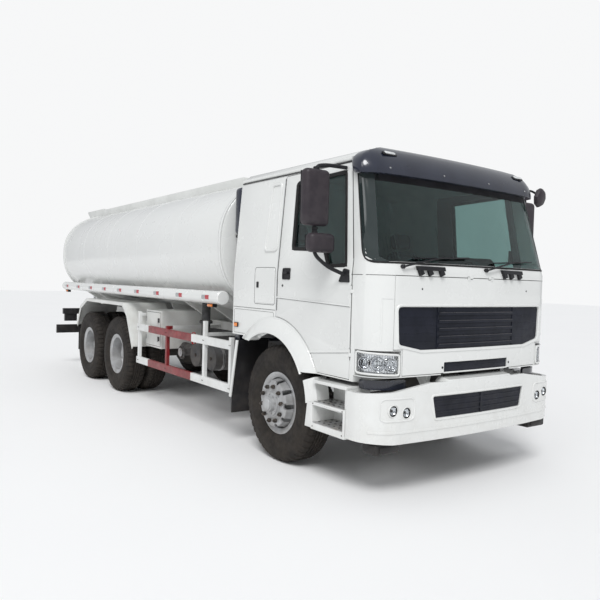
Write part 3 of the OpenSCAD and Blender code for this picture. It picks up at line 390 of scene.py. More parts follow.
class Piece:
    """One visual piece, gathered from simple shaped parts, each with a material index."""

    def __init__(s, name, body, *mats):
        s.name, s.body, s.mats = name, body, mats
        s.bm = bmesh.new()

    def take(s, bm, m=0, mx=None):
        bmesh.ops.recalc_face_normals(bm, faces=bm.faces)
        for f in bm.faces:
            f.material_index = m
        if mx is not None:
            bm.transform(mx)
        me = bpy.data.meshes.new("part")
        bm.to_mesh(me)
        bm.free()
        s.bm.from_mesh(me)
        bpy.data.meshes.remove(me)
        return s

    def loft(s, bm, rows, m=0, caps=True):
        """Faces between closed rings of one length, with flat ends."""
        k = len(rows[0])
        for a, b in zip(rows, rows[1:]):
            for j in range(k):
                bm.faces.new((a[j], a[(j + 1) % k], b[(j + 1) % k], b[j]))
        if caps:
            bm.faces.new(rows[0])
            bm.faces.new(rows[-1][::-1])
        return s.take(bm, m)

    def box(s, lo, hi, r=0.003, m=0, n=2, mx=None):
        lo, hi = Vector(map(min, lo, hi)), Vector(map(max, lo, hi))
        bm = bmesh.new()
        bmesh.ops.create_cube(bm, size=1)
        d = hi - lo
        for v in bm.verts:
            v.co = Vector(((v.co[i] + 0.5) * d[i] + lo[i]) for i in range(3))
        r = min(r, 0.45 * min(d))
        if r > 1e-4:
            bmesh.ops.bevel(bm, geom=list(bm.edges), offset=r, segments=n, profile=0.5,
                            affect="EDGES")
        return s.take(bm, m, mx)

    def lathe(s, prof, mx, m=0, n=32, lift=None):
        """prof is [(radius, height)...] about local Z; lift(angle, i) may move the radius."""
        bm = bmesh.new()
        rows = []
        for i, (r, h) in enumerate(prof):
            if r < 1e-6:
                rows.append([bm.verts.new((0, 0, h))])
                continue
            row = []
            for j in range(n):
                a = 2 * math.pi * j / n
                q = r + (lift(j, i) if lift else 0)
                row.append(bm.verts.new((q * math.cos(a), q * math.sin(a), h)))
            rows.append(row)
        turned(bm, rows, n)
        return s.take(bm, m, mx)

    def cyl(s, a, b, r, m=0, n=20, bev=0.002, r2=None):
        h = math.dist(a, b)
        r2 = r if r2 is None else r2
        e = min(bev, 0.4 * r, 0.4 * r2, 0.4 * h)
        prof = [(0, 0), (r - e, 0), (r, e), (r2, h - e), (r2 - e, h), (0, h)]
        return s.lathe(prof, frame_to(a, b), m, n)

    def tube(s, pts, r, m=0, n=12, bend=0.0):
        """Round bar along points, its corners rounded by bend."""
        pts = [Vector(p) for p in pts]
        if bend:
            q = [pts[0]]
            for i in range(1, len(pts) - 1):
                p = pts[i]
                u, v = pts[i - 1] - p, pts[i + 1] - p
                t = min(bend, u.length * 0.45, v.length * 0.45)
                a, b = p + u.normalized() * t, p + v.normalized() * t
                q += [a * (1 - w) ** 2 + p * 2 * w * (1 - w) + b * w * w
                      for w in (0, 0.2, 0.4, 0.6, 0.8, 1)]
            pts = q + [pts[-1]]
        return s.sweep(pts, [(r * math.cos(2 * math.pi * i / n), r * math.sin(2 * math.pi * i / n))
                             for i in range(n)], m)

    def sweep(s, pts, prof, m=0):
        """A closed profile [(side, up)...] carried along points, with flat ends."""
        pts = [Vector(p) for p in pts]
        bm, rows, up = bmesh.new(), [], None
        for i, p in enumerate(pts):
            t = (pts[min(i + 1, len(pts) - 1)] - pts[max(i - 1, 0)]).normalized()
            if up is None:
                up = Vector((0, 0, 1)) if abs(t.z) < 0.9 else Vector((1, 0, 0))
            b = (up - t * up.dot(t)).normalized()
            a = b.cross(t).normalized()
            up = b
            rows.append([bm.verts.new(p + a * x + b * y) for x, y in prof])
        k = len(prof)
        for a, b in zip(rows, rows[1:]):
            for j in range(k):
                bm.faces.new((a[j], a[(j + 1) % k], b[(j + 1) % k], b[j]))
        bm.faces.new(rows[0][::-1])
        bm.faces.new(rows[-1])
        return s.take(bm, m)

    def prism(s, pts, vec, m=0, bev=0.0, n=2):
        """A flat outline of 3D points carried along vec."""
        bm = bmesh.new()
        f = bm.faces.new([bm.verts.new(p) for p in pts])
        r = bmesh.ops.extrude_face_region(bm, geom=[f])
        bmesh.ops.translate(bm, verts=[v for v in r["geom"] if isinstance(v, bmesh.types.BMVert)],
                            vec=vec)
        if bev:
            bmesh.ops.bevel(bm, geom=list(bm.edges), offset=bev, segments=n, profile=0.5,
                            affect="EDGES", clamp_overlap=True)
        return s.take(bm, m)

    def ring(s, loop, put, inner, outer, low, high, m=0, chamfer=0.003):
        """A band round a closed 2D outline on a surface: put(a, b, out) gives its 3D points."""
        if area(loop) < 0:
            loop = loop[::-1]
        c = min(chamfer, abs(high - low) * 0.4, abs(inner + outer) * 0.3)
        rows = [(outer, low), (outer, high - c), (outer - c, high), (-inner + c, high),
                (-inner, high - c), (-inner, low)]
        bm, rings = bmesh.new(), []
        for d, o in rows:
            rings.append([bm.verts.new(put(p[0], p[1], o)) for p in shift(loop, d)])
        return s.loft(bm, rings + rings[:1], m, False)

    def skin(s, loop, put, low, high, m=0, step=0.05, chamfer=0.003):
        """A filled plate with that 2D outline, bent onto a surface."""
        if area(loop) < 0:
            loop = loop[::-1]
        bm = bmesh.new()
        lo = np.min(loop, 0)
        hi = np.max(loop, 0)
        top = [bm.verts.new((p[0], p[1], 0)) for p in shift(loop, -chamfer)]
        bm.faces.new(top)
        for ax in (0, 1):
            n = int((hi[ax] - lo[ax]) / step)
            for i in range(1, n + 1):
                at = lo[ax] + (hi[ax] - lo[ax]) * i / (n + 1)
                bmesh.ops.bisect_plane(bm, geom=list(bm.verts) + list(bm.edges) + list(bm.faces),
                                       plane_co=(at if ax == 0 else 0, at if ax == 1 else 0, 0),
                                       plane_no=(1, 0, 0) if ax == 0 else (0, 1, 0))
        edge = [e for e in bm.edges if len(e.link_faces) == 1]
        r = bmesh.ops.extrude_edge_only(bm, edges=edge)
        new = [v for v in r["geom"] if isinstance(v, bmesh.types.BMVert)]
        cx, cy = (lo + hi) / 2
        for v in new:
            v.co.x += math.copysign(min(chamfer, abs(v.co.x - cx) * 0.2), v.co.x - cx)
            v.co.y += math.copysign(min(chamfer, abs(v.co.y - cy) * 0.2), v.co.y - cy)
            v.co.z = -1
        for v in bm.verts:
            v.co = Vector(put(v.co.x, v.co.y, low if v.co.z < -0.5 else high))
        return s.take(bm, m)

    def nuts(s, centre, axis, pcd, count, r, h, m=0, turn=0.0, stud=0.0):
        """A ring of hexagon nuts, with studs if stud is over 0."""
        mx = frame_to(centre, Vector(centre) + Vector(axis))
        for i in range(count):
            a = 2 * math.pi * i / count + turn
            p = mx @ Vector((pcd * math.cos(a), pcd * math.sin(a), 0))
            q = p + Vector(axis).normalized() * h
            s.cyl(p, q, r, m, 6, r * 0.12)
            if stud:
                s.cyl(q, q + Vector(axis).normalized() * stud, r * 0.5, m, 8, r * 0.1)
        return s

    def done(s, angle=32, replaces=()):
        bmesh.ops.remove_doubles(s.bm, verts=s.bm.verts, dist=1e-6)
        return show(s.bm, s.name, s.name, s.mats, angle, s.body, SLOT[s.mats[0].name], replaces)


BODY = {n: o["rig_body"] for n, o in NODE.items()}
RECORD_SLOT = {p["node"]: p["material_slot"] for p in frame["record"]["subparts"]}


def soft(node, *mats, width=0.004, seg=2, over=28, shade=34, pick=None):
    """A copy of a CAD node with its flat faces joined and its sharp edges rounded."""
    bm = bmesh.new()
    bm.from_mesh(NODE[node].data)
    bmesh.ops.remove_doubles(bm, verts=bm.verts, dist=2e-5)
    bmesh.ops.dissolve_limit(bm, angle_limit=rad(0.4), verts=bm.verts, edges=bm.edges)
    if width:
        e = [e for e in bm.edges if len(e.link_faces) == 2 and e.calc_face_angle(0) > rad(over)]
        bmesh.ops.bevel(bm, geom=e, offset=width, segments=seg, profile=0.6, affect="EDGES",
                        clamp_overlap=True, miter_outer="ARC")
    if pick:
        for f in bm.faces:
            f.material_index = pick(f.calc_center_median(), f.normal)
    return show(bm, node + ".shown", node + "_soft", mats, shade, BODY[node], RECORD_SLOT[node],
                [node])


def dress(mat, *nodes):
    for n in nodes:
        NODE[n].data.materials.clear()
        NODE[n].data.materials.append(mat)
        sharp(NODE[n].data, 34)


SIDES = (("left", 1), ("right", -1))
SIGNS = (1, -1)

# ---------------------------------------------------------------- wheels and tyres


def mid(node):
    lo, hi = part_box(node)
    return (Vector(lo) + Vector(hi)) / 2


TO_Y = Matrix.Rotation(rad(-90), 4, "X")
TYRE_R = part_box("tyre_front_left")[1][2] / 2
TREAD_N = 192
HALF = [(-0.304, 0.104), (-0.298, 0.1125), (-0.262, 0.1165), (-0.254, 0.1255), (-0.242, 0.129),
        (-0.22, 0.14), (-0.192, 0.151), (-0.147, 0.1565), (-0.12, 0.1555), (-0.115, 0.153),
        (-0.09, 0.152), (-0.06, 0.1475), (-0.045, 0.1425), (-0.03, 0.139), (-0.018, 0.127),
        (-0.0065, 0.111), (-0.001, 0.098), (0, 0.062), (0, 0.058), (-0.013, 0.055),
        (-0.013, 0.045), (0, 0.042), (0, 0.02), (-0.012, 0.018), (-0.012, 0.010), (0, 0.008)]
TYRE_PROF = [(TYRE_R + r, y) for r, y in HALF] + [(TYRE_R + r, -y) for r, y in HALF[::-1]]
TYRE_PROF.append(TYRE_PROF[0])


def tread(j, i):
    r, y = TYRE_PROF[i]
    if abs(y) > 0.056 and r > TYRE_R - 0.05:
        return -0.013 if j % 4 == 0 else 0
    if 0.019 < abs(y) < 0.043 and r > TYRE_R - 0.005:
        return -0.006 if j % 4 == 2 else 0
    return 0


for end, offs in (("front", (0,)), ("mid", (-0.17, 0.17)), ("rear", (-0.17, 0.17))):
    for side, s in SIDES:
        twin = "s" if len(offs) > 1 else ""
        body = f"wheel{twin}_{end}_{side}"
        tyre = f"tyre{twin}_{end}_{side}"
        c = mid(tyre)
        p = Piece(tyre + ".tread", body, TYRE)
        for o in offs:
            p.lathe(TYRE_PROF, Matrix.Translation(c + Vector((0, o, 0))) @ TO_Y, 0, TREAD_N, tread)
        p.done(28, [tyre])
        soft(body, RIM, width=0.0025, seg=2, over=35)
        face = 0.014 if twin else 0.19
        cap = 0.19 if twin else 0.252
        p = Piece(f"hub_{end}_{side}", body, NUT, STEEL, RIM, IRON)
        out = Vector((0, s, 0))
        p.nuts(c + out * face, out, 0.1675, 10, 0.021, 0.026, 0, 0.15, 0.012)
        p.nuts(c + out * (0.19 if twin else 0.21), out, 0.083 if twin else 0.094, 8, 0.009,
               0.008, 1, 0.2)
        p.cyl(c + out * (cap - 0.002), c + out * (cap + 0.012), 0.062, 2, 32, 0.005)
        p.cyl(c + out * (face - 0.001), c + out * (face + 0.006), 0.134, 2, 40, 0.002)
        p.tube([c + Vector((0.215, s * (face - 0.02), 0.03)),
                c + Vector((0.222, s * (face + 0.03), 0.03)),
                c + Vector((0.236, s * (face + 0.045), 0.03))], 0.0045, 1, 8, 0.01)
        p.done()

# ---------------------------------------------------------------- under the frame

for n in ("chassis_frame", "cross_members"):
    soft(n, DARK, width=0.003)
for n in ("front_axle", "knuckle_left", "knuckle_right"):
    soft(n, IRON, width=0.004)
dress(IRON, "drive_axles")
soft("leaf_springs", IRON, width=0.002)
soft("engine_block", IRON, width=0.012)
soft("gearbox", IRON, width=0.02)
dress(IRON, "propshafts")

FRONT = mid("tyre_front_left")
AXLES = [mid("tyres_mid_left").x, mid("tyres_rear_left").x]
SPRING_Y = 0.39
p = Piece("spring_clamps", "chassis", STEEL, NUT, IRON)
for s in SIGNS:
    for x, z0, z1 in ((FRONT.x, 0.44, 0.60), ((AXLES[0] + AXLES[1]) / 2, 0.66, 0.775)):
        for dx in (-0.05, 0.05):
            for dy in (-0.05, 0.05):
                bolt_x, bolt_y = x + dx, s * SPRING_Y + dy
                p.cyl((bolt_x, bolt_y, z0), (bolt_x, bolt_y, z1), 0.009, 0, 10)
                p.cyl((bolt_x, bolt_y, z1 - 0.028), (bolt_x, bolt_y, z1 - 0.01), 0.016, 1, 6)
    for x in AXLES:
        back, y = -0.2, s * 0.62
        p.cyl((x + back, y, 0.60), (x + back - 0.12, y, 0.62), 0.085, 2, 28, 0.02)
        p.cyl((x + back - 0.12, y, 0.62), (x + back - 0.16, y, 0.626), 0.07, 2, 28, 0.02)
        p.cyl((x + back - 0.055, y, 0.606), (x + back - 0.065, y, 0.608), 0.091, 0, 28, 0.003)
        p.tube([(x - 0.03, y, 0.58), (x + back, y, 0.60)], 0.022, 2, 12)
    for x in (FRONT.x + 0.2, FRONT.x - 0.18):
        p.tube([(x, s * 0.47, 0.56), (x + 0.04, s * 0.46, 0.98)], 0.022, 2, 14)
p.done()

p = Piece("frame_bolts", "chassis", NUT)
for s in SIGNS:
    for i in range(34):
        x = -3.9 + i * 0.245
        for z in (0.82, 0.99):
            p.cyl((x, s * 0.429, z), (x, s * 0.4385, z), 0.011, 0, 6)
p.done()

p = Piece("air_lines", "chassis", BLACK)
for s in SIGNS:
    p.tube([(2.2, s * 0.36, 1.04), (0.2, s * 0.37, 1.03), (-1.8, s * 0.37, 1.04),
            (-3.8, s * 0.36, 1.03)], 0.009, 0, 8, 0.1)
    p.tube([(2.2, s * 0.34, 1.02), (0.2, s * 0.35, 1.00), (-1.8, s * 0.35, 1.01)], 0.007, 0, 8, 0.1)
p.done()

soft("fuel_tank", ALU, width=0.006, over=50)
soft("tool_box", WHITE2, width=0.006)
soft("pump_pipework", IRON, width=0.003, over=50)
soft("air_reservoirs", DARK, width=0.02, over=50)
soft("air_intake", NAVY, width=0.03, seg=4)
soft("cradle_sills", WHITE2, width=0.004)
soft("tank_saddles", WHITE2, width=0.003)

p = Piece("fuel_tank_fittings", "chassis", STEEL, RUBBER, DARK)
for x in (0.93, 1.61):
    p.prism([(x - 0.025, 1.0905, 0.60), (x - 0.025, 1.0975, 0.60), (x - 0.025, 1.0975, 1.03),
             (x - 0.025, 1.0905, 1.03)], (0.05, 0, 0), 0, 0.002)
    p.cyl((x, 1.097, 0.99), (x, 1.106, 0.99), 0.012, 0, 6)
p.lathe([(0, 0), (0.055, 0), (0.06, 0.01), (0.06, 0.03), (0.05, 0.042), (0.02, 0.046), (0, 0.046)],
        Matrix.Translation((1.27 + 0.36, 0.92, 1.064)), 2, 40, lambda j, i: 0.003 if j % 4 else 0)
p.tube([(1.40, 1.092, 0.70), (1.40, 1.098, 0.70), (1.40, 1.098, 0.95), (1.40, 1.092, 0.95)], 0.006,
       0, 8, 0.004)
p.done()

(bx0, y, bz0), (bx1, _, bz1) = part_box("tool_box")
p = Piece("tool_box_door", "chassis", WHITE2, PAINTED_SHADE, STEEL, BLACK)
p.box((bx0 + 0.03, y - 0.006, bz0 + 0.03), (bx1 - 0.03, y, bz1 - 0.03), 0.004)
# A dark rim round the door: painted shade in the gap round it.
p.box((bx0 + 0.024, y - 0.0015, bz0 + 0.024), (bx1 - 0.024, y, bz1 - 0.024),
      0.001, 1)
for z in (bz0 + 0.13, bz1 - 0.13):
    p.cyl((bx0 + 0.026, y - 0.008, z - 0.03), (bx0 + 0.026, y - 0.008, z + 0.03), 0.007, 2)
    p.box((bx1 - 0.11, y - 0.013, z - 0.03), (bx1 - 0.05, y - 0.005, z + 0.03), 0.004, 3)
    p.tube([(bx1 - 0.08, y - 0.012, z), (bx1 - 0.08, y - 0.02, z),
            (bx1 - 0.08, y - 0.02, z - 0.04)], 0.005, 2, 8, 0.004)
p.done()

PUMP_X, PUMP_Z = 0.925, 0.80
RISER_Y = -0.76
VALVE = (PUMP_X, -0.93, PUMP_Z + 0.17)
WHEEL_R = 0.075
p = Piece("pump_fittings", "chassis", STEEL, IRON, REDLENS, NUT)
p.nuts((PUMP_X, -1.10, PUMP_Z), (0, -1, 0), 0.066, 8, 0.009, 0.009, 3, math.pi / 8)
p.cyl((PUMP_X, -1.1005, PUMP_Z), (PUMP_X, -1.1165, PUMP_Z), 0.056, 0, 36, 0.003)
p.cyl((PUMP_X, -1.1165, PUMP_Z), (PUMP_X, -1.122, PUMP_Z), 0.03, 0, 24, 0.003)
p.cyl((PUMP_X, RISER_Y, PUMP_Z + 0.16), VALVE, 0.016, 0, 16)
p.tube([(PUMP_X + WHEEL_R * math.cos(a * math.pi / 12), VALVE[1],
         VALVE[2] + WHEEL_R * math.sin(a * math.pi / 12)) for a in range(25)], 0.008, 2, 10)
for a in range(3):
    t = a * math.pi * 2 / 3
    p.tube([VALVE, (PUMP_X + WHEEL_R * math.cos(t), VALVE[1], VALVE[2] + WHEEL_R * math.sin(t))],
           0.006, 2, 8)
for z in (0.93, 1.16):
    p.cyl((PUMP_X, RISER_Y, z), (PUMP_X, RISER_Y, z + 0.03), 0.085, 1, 36, 0.003)
    p.nuts((PUMP_X, RISER_Y, z + 0.03), (0, 0, 1), 0.07, 8, 0.009, 0.009, 3)
p.done()

p = Piece("reservoir_straps", "chassis", STEEL, NUT)
for x in (1.25, 1.65):
    for y in (-0.62, -0.95):
        p.lathe([(0.1405, -0.016), (0.1435, -0.014), (0.1435, 0.014), (0.1405, 0.016)],
                Matrix.Translation((x, y, 0.80)) @ TO_Y, 0, 40)
    p.cyl((x, -0.8, 0.663), (x, -0.8, 0.648), 0.012, 1, 6)
    p.cyl((x, -1.0595, 0.80), (x, -1.072, 0.80), 0.022, 1, 6)
p.done()

# ---------------------------------------------------------------- tank

TANK_Z, TANK_A, TANK_B, TANK_N = 2.125, 1.228, 0.817, 2.38
tank_lo, tank_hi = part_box("tank")


def oval(a, g=0.0):
    c, s_ = math.cos(a), math.sin(a)
    return (math.copysign(abs(c) ** (2 / TANK_N), c) * (TANK_A + g),
            TANK_Z + math.copysign(abs(s_) ** (2 / TANK_N), s_) * (TANK_B + g))


def hoop(p, x, w, out, m=0, a0=0, a1=72, inn=-0.004, n=72):
    """A strip round the barrel between two of its 72 steps."""
    bm = bmesh.new()
    rows = []
    for j in range(a0, a1 + 1):
        a = 2 * math.pi * j / n
        rows.append([bm.verts.new((x + dx, *oval(a, g))) for dx, g in
                     ((-w, inn), (-w, out - 0.002), (-w + 0.003, out), (w - 0.003, out),
                      (w, out - 0.002), (w, inn))])
    closed = a1 - a0 == n
    if closed:
        for v in rows[-1]:
            bm.verts.remove(v)
        rows[-1] = rows[0]
    p.loft(bm, rows, m, not closed)


DISH_R, SHELL_N = 9.5, 160
p = Piece("tank_shell", "chassis", TANKW, STEEL)
bm = bmesh.new()
rows = []


def shell_ring(k, tip, d, g=0.0):
    """A ring of the shell at share k of its section, on the dished end whose middle is at tip."""
    row = []
    for j in range(SHELL_N):
        y, z = oval(2 * math.pi * j / SHELL_N, g)
        y, z = y * k, TANK_Z + (z - TANK_Z) * k
        row.append(bm.verts.new((tip - d * (y * y + (z - TANK_Z) ** 2) / (2 * DISH_R), y, z)))
    return row


for tip, d in ((tank_lo[0], -1), (tank_hi[0], 1)):
    part = [[bm.verts.new((tip, 0, TANK_Z))]]
    part += [shell_ring(k, tip, d) for k in (0.15, 0.35, 0.55, 0.75, 0.88, 0.95, 0.98)]
    part += [shell_ring(1, tip - d * e, d, g) for e, g in ((0.001, -0.014), (0.005, -0.006),
                                                         (0.012, -0.0015), (0.022, 0))]
    rows += part if d < 0 else [shell_ring(1, x, 1) for x in (-2.0, 0.0)] + part[::-1]
turned(bm, rows, SHELL_N)
p.take(bm)
HATCH_X, PIN_Z = -0.07, 2.982
p.cyl((HATCH_X, 0, TANK_Z + TANK_B - 0.06), (HATCH_X, 0, TANK_Z + TANK_B + 0.0255), 0.25, 0, 56,
      0.004)
for s in SIGNS:
    p.cyl((HATCH_X - 0.282, s * 0.0255, PIN_Z), (HATCH_X - 0.282, s * 0.04, PIN_Z), 0.010, 1, 20,
          0.001)
    p.box((HATCH_X - 0.292, s * 0.0255, 2.934), (HATCH_X - 0.242, s * 0.04, 2.966), 0.002, 1)
    p.box((HATCH_X - 0.291, s * 0.0255, 2.934), (HATCH_X - 0.273, s * 0.04, PIN_Z), 0.002, 1)
p.cyl((HATCH_X - 0.282, -0.038, PIN_Z), (HATCH_X - 0.282, 0.038, PIN_Z), 0.005, 1, 16, 0.001)
p.done(40, ["tank"])
p = Piece("tank_bands", "chassis", TANKW, STEEL)
for x in (tank_lo[0] + 0.10, tank_hi[0] - 0.10):
    hoop(p, x, 0.022, 0.012)
for i in range(1, 5):
    x = tank_lo[0] + 0.1 + (tank_hi[0] - tank_lo[0] - 0.2) * i / 5
    hoop(p, x, 0.007, 0.003)
p.done(40)

soft("tank_walkway", WHITE2, width=0.003)
soft("tube_brackets", WHITE2, width=0.002)
dress(WHITE, "hose_tubes")
p = Piece("walkway_treads", "chassis", PLATE, RUBBER)
for x0, x1 in ((tank_lo[0] + 0.12, -0.66), (0.24, 1.44)):
    n = max(1, int((x1 - x0) / 0.6))
    for i in range(n):
        a = x0 + (x1 - x0) * i / n
        p.box((a, -0.30, tank_hi[2] - 0.03), (a + (x1 - x0) / n - 0.02, 0.30, tank_hi[2] - 0.006),
              0.003)
p.box((-4.69, -0.58, 2.9995), (-4.16, 0.58, 3.003), 0.001)
p.done()

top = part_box("manhole_lid")[1][2]
p = Piece("manhole_fittings", "manhole_lid", STEEL, NUT, ALU)
c0 = Vector((-0.07, 0, top - 0.001))
p.cyl(c0, c0 + Vector((0, 0, 0.012)), 0.16, 2, 56, 0.005)
p.nuts(c0 + Vector((0, 0, -0.0005)), (0, 0, 1), 0.225, 10, 0.012, 0.012, 1)
p.tube([c0 + Vector((0.02, -0.08, 0.008)), c0 + Vector((0.02, -0.08, 0.03)),
        c0 + Vector((0.02, 0.08, 0.03)), c0 + Vector((0.02, 0.08, 0.008))], 0.007, 0, 10, 0.012)
p.done()

tube_y, tube_z, tube_r = 1.17, 1.528, 0.0735
tube_lo, tube_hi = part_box("hose_tubes")
p = Piece("hose_tube_marks", "chassis", TAPE_R, SILVER_TAPE, AMBER, WHITE, BLACK)
for s in SIGNS:
    for x in (tube_hi[0] - 0.001, tube_lo[0] + 0.001):
        d = 1 if x > 0 else -1
        p.cyl((x - d * 0.06, s * tube_y, tube_z), (x + d * 0.012, s * tube_y, tube_z),
              tube_r + 0.003, 3,
              44, 0.008)
    for i in range(9):
        x = tube_lo[0] + 0.22 + i * 0.70
        for k, m in ((0, 1), (0.09, 0)):
            bm = bmesh.new()
            rows = []
            for j in range(9):
                a = rad(-19 + 38 * j / 8)
                y_ = tube_y + (tube_r + 0.0012) * math.cos(a)
                z_ = tube_z + (tube_r + 0.0012) * math.sin(a)
                rows.append([bm.verts.new((x + k + dx, s * y_, z_)) for dx in (0, 0.088)])
            for a, b in zip(rows, rows[1:]):
                bm.faces.new((a[0], a[1], b[1], b[0]))
            bmesh.ops.solidify(bm, geom=list(bm.faces), thickness=0.0012)
            p.take(bm, m)
    for x in (tube_lo[0] + 0.05, tube_hi[0] - 0.32):
        p.box((x - 0.01, s * 1.13, tube_z - 0.115), (x + 0.12, s * 1.185, tube_z - 0.07), 0.005, 4,
              3)
        p.box((x, s * 1.16, tube_z - 0.108), (x + 0.11, s * 1.197, tube_z - 0.077), 0.006, 2, 3)
p.done()

# ---------------------------------------------------------------- guards, rear end

RED_SPAN = (0.10, 1.42)
GUARD = banded("guard_rail_enamel_banded", (0.23, 0.006, 0.012), (0.17, 0.005, 0.009), *RED_SPAN)
soft("side_guards", GUARD, width=0.006, seg=3)
soft("rear_mudguards", WHITE2, width=0.003)
soft("rear_bars", BLACK, width=0.005)
soft("rear_ladder", ALU, width=0.002, over=50)
soft("front_mudflaps", BLACK, WHITE, width=0.004, pick=lambda c, n: int(abs(c.y) > 1.2225))
g_lo, g_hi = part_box("side_guards")
p = Piece("guard_bolts", "chassis", NUT)
for s in SIGNS:
    for x in (g_lo[0] + 0.06, g_lo[0] + 1.01, 1.735, g_hi[0] - 0.02):
        for z in (0.57, 1.03):
            for dx in (-0.012, 0.012):
                p.cyl((x + dx, s * 1.2045, z), (x + dx, s * 1.2095, z), 0.006, 0, 12, 0.002)
p.done()

p = Piece("tail_lamps", "chassis", BLACK, REDLENS, AMBER, WHITELENS, STEEL, NUT)
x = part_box("rear_bars")[0][0]
lamp_x = -4.09
for s in SIGNS:
    p.box((lamp_x - 0.045, s * 0.99, 0.868), (lamp_x, s * 1.19, 0.988), 0.01, 0, 3)
    for a, b, m in ((1.126, 1.182, 2), (1.064, 1.122, 1), (1.0, 1.06, 3)):
        p.box((lamp_x - 0.058, s * a, 0.878), (lamp_x - 0.04, s * b, 0.978), 0.006, m, 3)
    p.cyl((-4.078, s * 0.86, 1.05), (-4.09, s * 0.86, 1.05), 0.03, 1, 28, 0.004)
    for yy in (0.35, 0.6):
        for z in (0.64, 0.72):
            p.cyl((x + 0.001, s * yy, z), (x - 0.008, s * yy, z), 0.01, 5, 6)
    p.box((x - 0.004, s * 0.72, 0.62), (x + 0.001, s * 1.2, 0.74), 0.002, 1)
    for yy in (0.84, 1.04):
        p.box((x - 0.0055, s * yy, 0.622), (x - 0.001, s * (yy + 0.09), 0.738), 0.002, 3)
p.box((-4.10, -0.26, 1.005), (-4.078, 0.26, 1.09), 0.004, 0)
p.done()

p = Piece("rear_flaps", "chassis", RUBBER, STEEL)
for s in SIGNS:
    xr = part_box("rear_mudguards")[0][0]
    p.box((xr - 0.004, s * 0.62, 0.42), (xr + 0.008, s * 1.21, 0.90), 0.003, 0)
    p.box((xr - 0.008, s * 0.62, 0.86), (xr + 0.012, s * 1.21, 0.89), 0.003, 1)
    for k in range(4):
        z = 0.47 + k * 0.08
        p.box((xr - 0.010, s * 0.66, z), (xr - 0.002, s * 1.17, z + 0.03), 0.004, 0)
p.done()

# ---------------------------------------------------------------- cab surfaces

BELT = 1.85
LEAN = math.tan(rad(17.5))
ARC = 0.9 + 0.26 * math.pi / 2
SIDE_Z = [0.9, 1.80, 2.735, 2.785, 2.845, 2.888, 2.924, 2.944, 2.950]
SIDE_W = [1.160, 1.160, 1.082, 1.060, 0.995, 0.860, 0.600, 0.300, 0.0]


def side_y(z):
    return float(np.interp(z, SIDE_Z, SIDE_W))


def flank(s):
    """put() for a cab side: outline given as (x, z)."""
    return lambda x, z, out: (x, s * (side_y(z) + out), z)


def nose(u, z, out=0.0):
    """put() for the cab's front: u runs along the plan curve from the middle, out is outwards."""
    a, s = abs(u), 1 if u >= 0 else -1
    if a <= 0.9:
        x, y, nx, ny = 4.64 - 0.04 * (a / 0.9) ** 2, a, 1.0, 0.1 * a
    elif a <= ARC:
        t = rad(90) - (a - 0.9) / 0.26
        x, y = 4.32 + 0.28 * math.sin(t), 0.9 + (0.26 + 0.02 * math.cos(t)) * math.cos(t)
        nx, ny = math.sin(t), math.cos(t)
    else:
        x, y, nx, ny = 4.32 - (a - ARC), 1.18, 0.0, 1.0
    y = min(y, side_y(z))
    up = max(0.0, z - BELT)
    return (x + nx * out - up * LEAN, s * (y + ny * out), z)


def bumper(u, z, out=0.0):
    """put() for the bumper's face."""
    a, s = abs(u), 1 if u >= 0 else -1
    if a <= 0.9:
        return (4.70 - 0.045 * (a / 0.9) ** 2 + out, u, z)
    t = max(0.0, rad(90) - (a - 0.9) / 0.30)
    return (4.40 + (0.255 + out) * math.sin(t), s * (0.9 + (0.335 + out) * math.cos(t)), z)


def strip(p, pts, put, w, out, m=0, low=-0.004, step=0.04):
    """A flat bar w wide laid on a surface along a 2D line."""
    line = [pts[0]]
    for a, b in zip(pts, pts[1:]):
        n = max(1, int(math.dist(a, b) / step))
        line += [(a[0] + (b[0] - a[0]) * j / n, a[1] + (b[1] - a[1]) * j / n) for j in range(1,
                                                                                             n + 1)]
    bm, rows = bmesh.new(), []
    for i, q in enumerate(line):
        a, b = line[max(i - 1, 0)], line[min(i + 1, len(line) - 1)]
        t = Vector((b[0] - a[0], b[1] - a[1])).normalized()
        nx, nz = -t.y * w / 2, t.x * w / 2
        e = min(0.002, w * 0.2)
        k = 1 - 2 * e / w
        rows.append([bm.verts.new(put(q[0] + nx * f, q[1] + nz * f, o)) for f, o in
                     ((-1, low), (-1, out - e), (-k, out), (k, out), (1, out - e), (1, low))])
    return p.loft(bm, rows, m)


def sunk(put, depth):
    """That surface, set back by depth."""
    return lambda u, z, out: put(u, z, out - depth)


def rect(a0, a1, z0, z1, r, n=5):
    return fillet([(a0, z0), (a1, z0), (a1, z1), (a0, z1)], r, n)


# ---------------------------------------------------------------- bumper and steps

soft("front_bumper", WHITE, width=0.010, seg=3, over=40)
dress(GRILLE, "bumper_grille")
soft("step_boxes", WHITE, width=0.006, over=40)
p = Piece("bumper_trim", "chassis", WHITE, GRILLE, PAINTED_SHADE, CHROME, CLEAR, BLACK, NAVY)
strip(p, [(-1.20, 0.562), (-0.9, 0.556), (0.9, 0.556), (1.20, 0.562)], bumper, 0.020, 0.005, 0)
for z, w in ((0.686, 0.593 - 0.013), (0.731, 0.593), (0.777, 0.605)):
    strip(p, [(-w + 0.02, z), (w - 0.02, z)], sunk(bumper, 0.006), 0.014, 0.0, 1)
strip(p, [(0, 0.642), (0, 0.820)], sunk(bumper, 0.004), 0.03, 0.0, 1)
p.ring(dense(fillet([(-0.567, 0.637), (0.567, 0.637), (0.607, 0.825), (-0.607, 0.825)], 0.02),
             0.06),
       bumper, 0.004, 0.018, -0.012, 0.007, 0, 0.006)
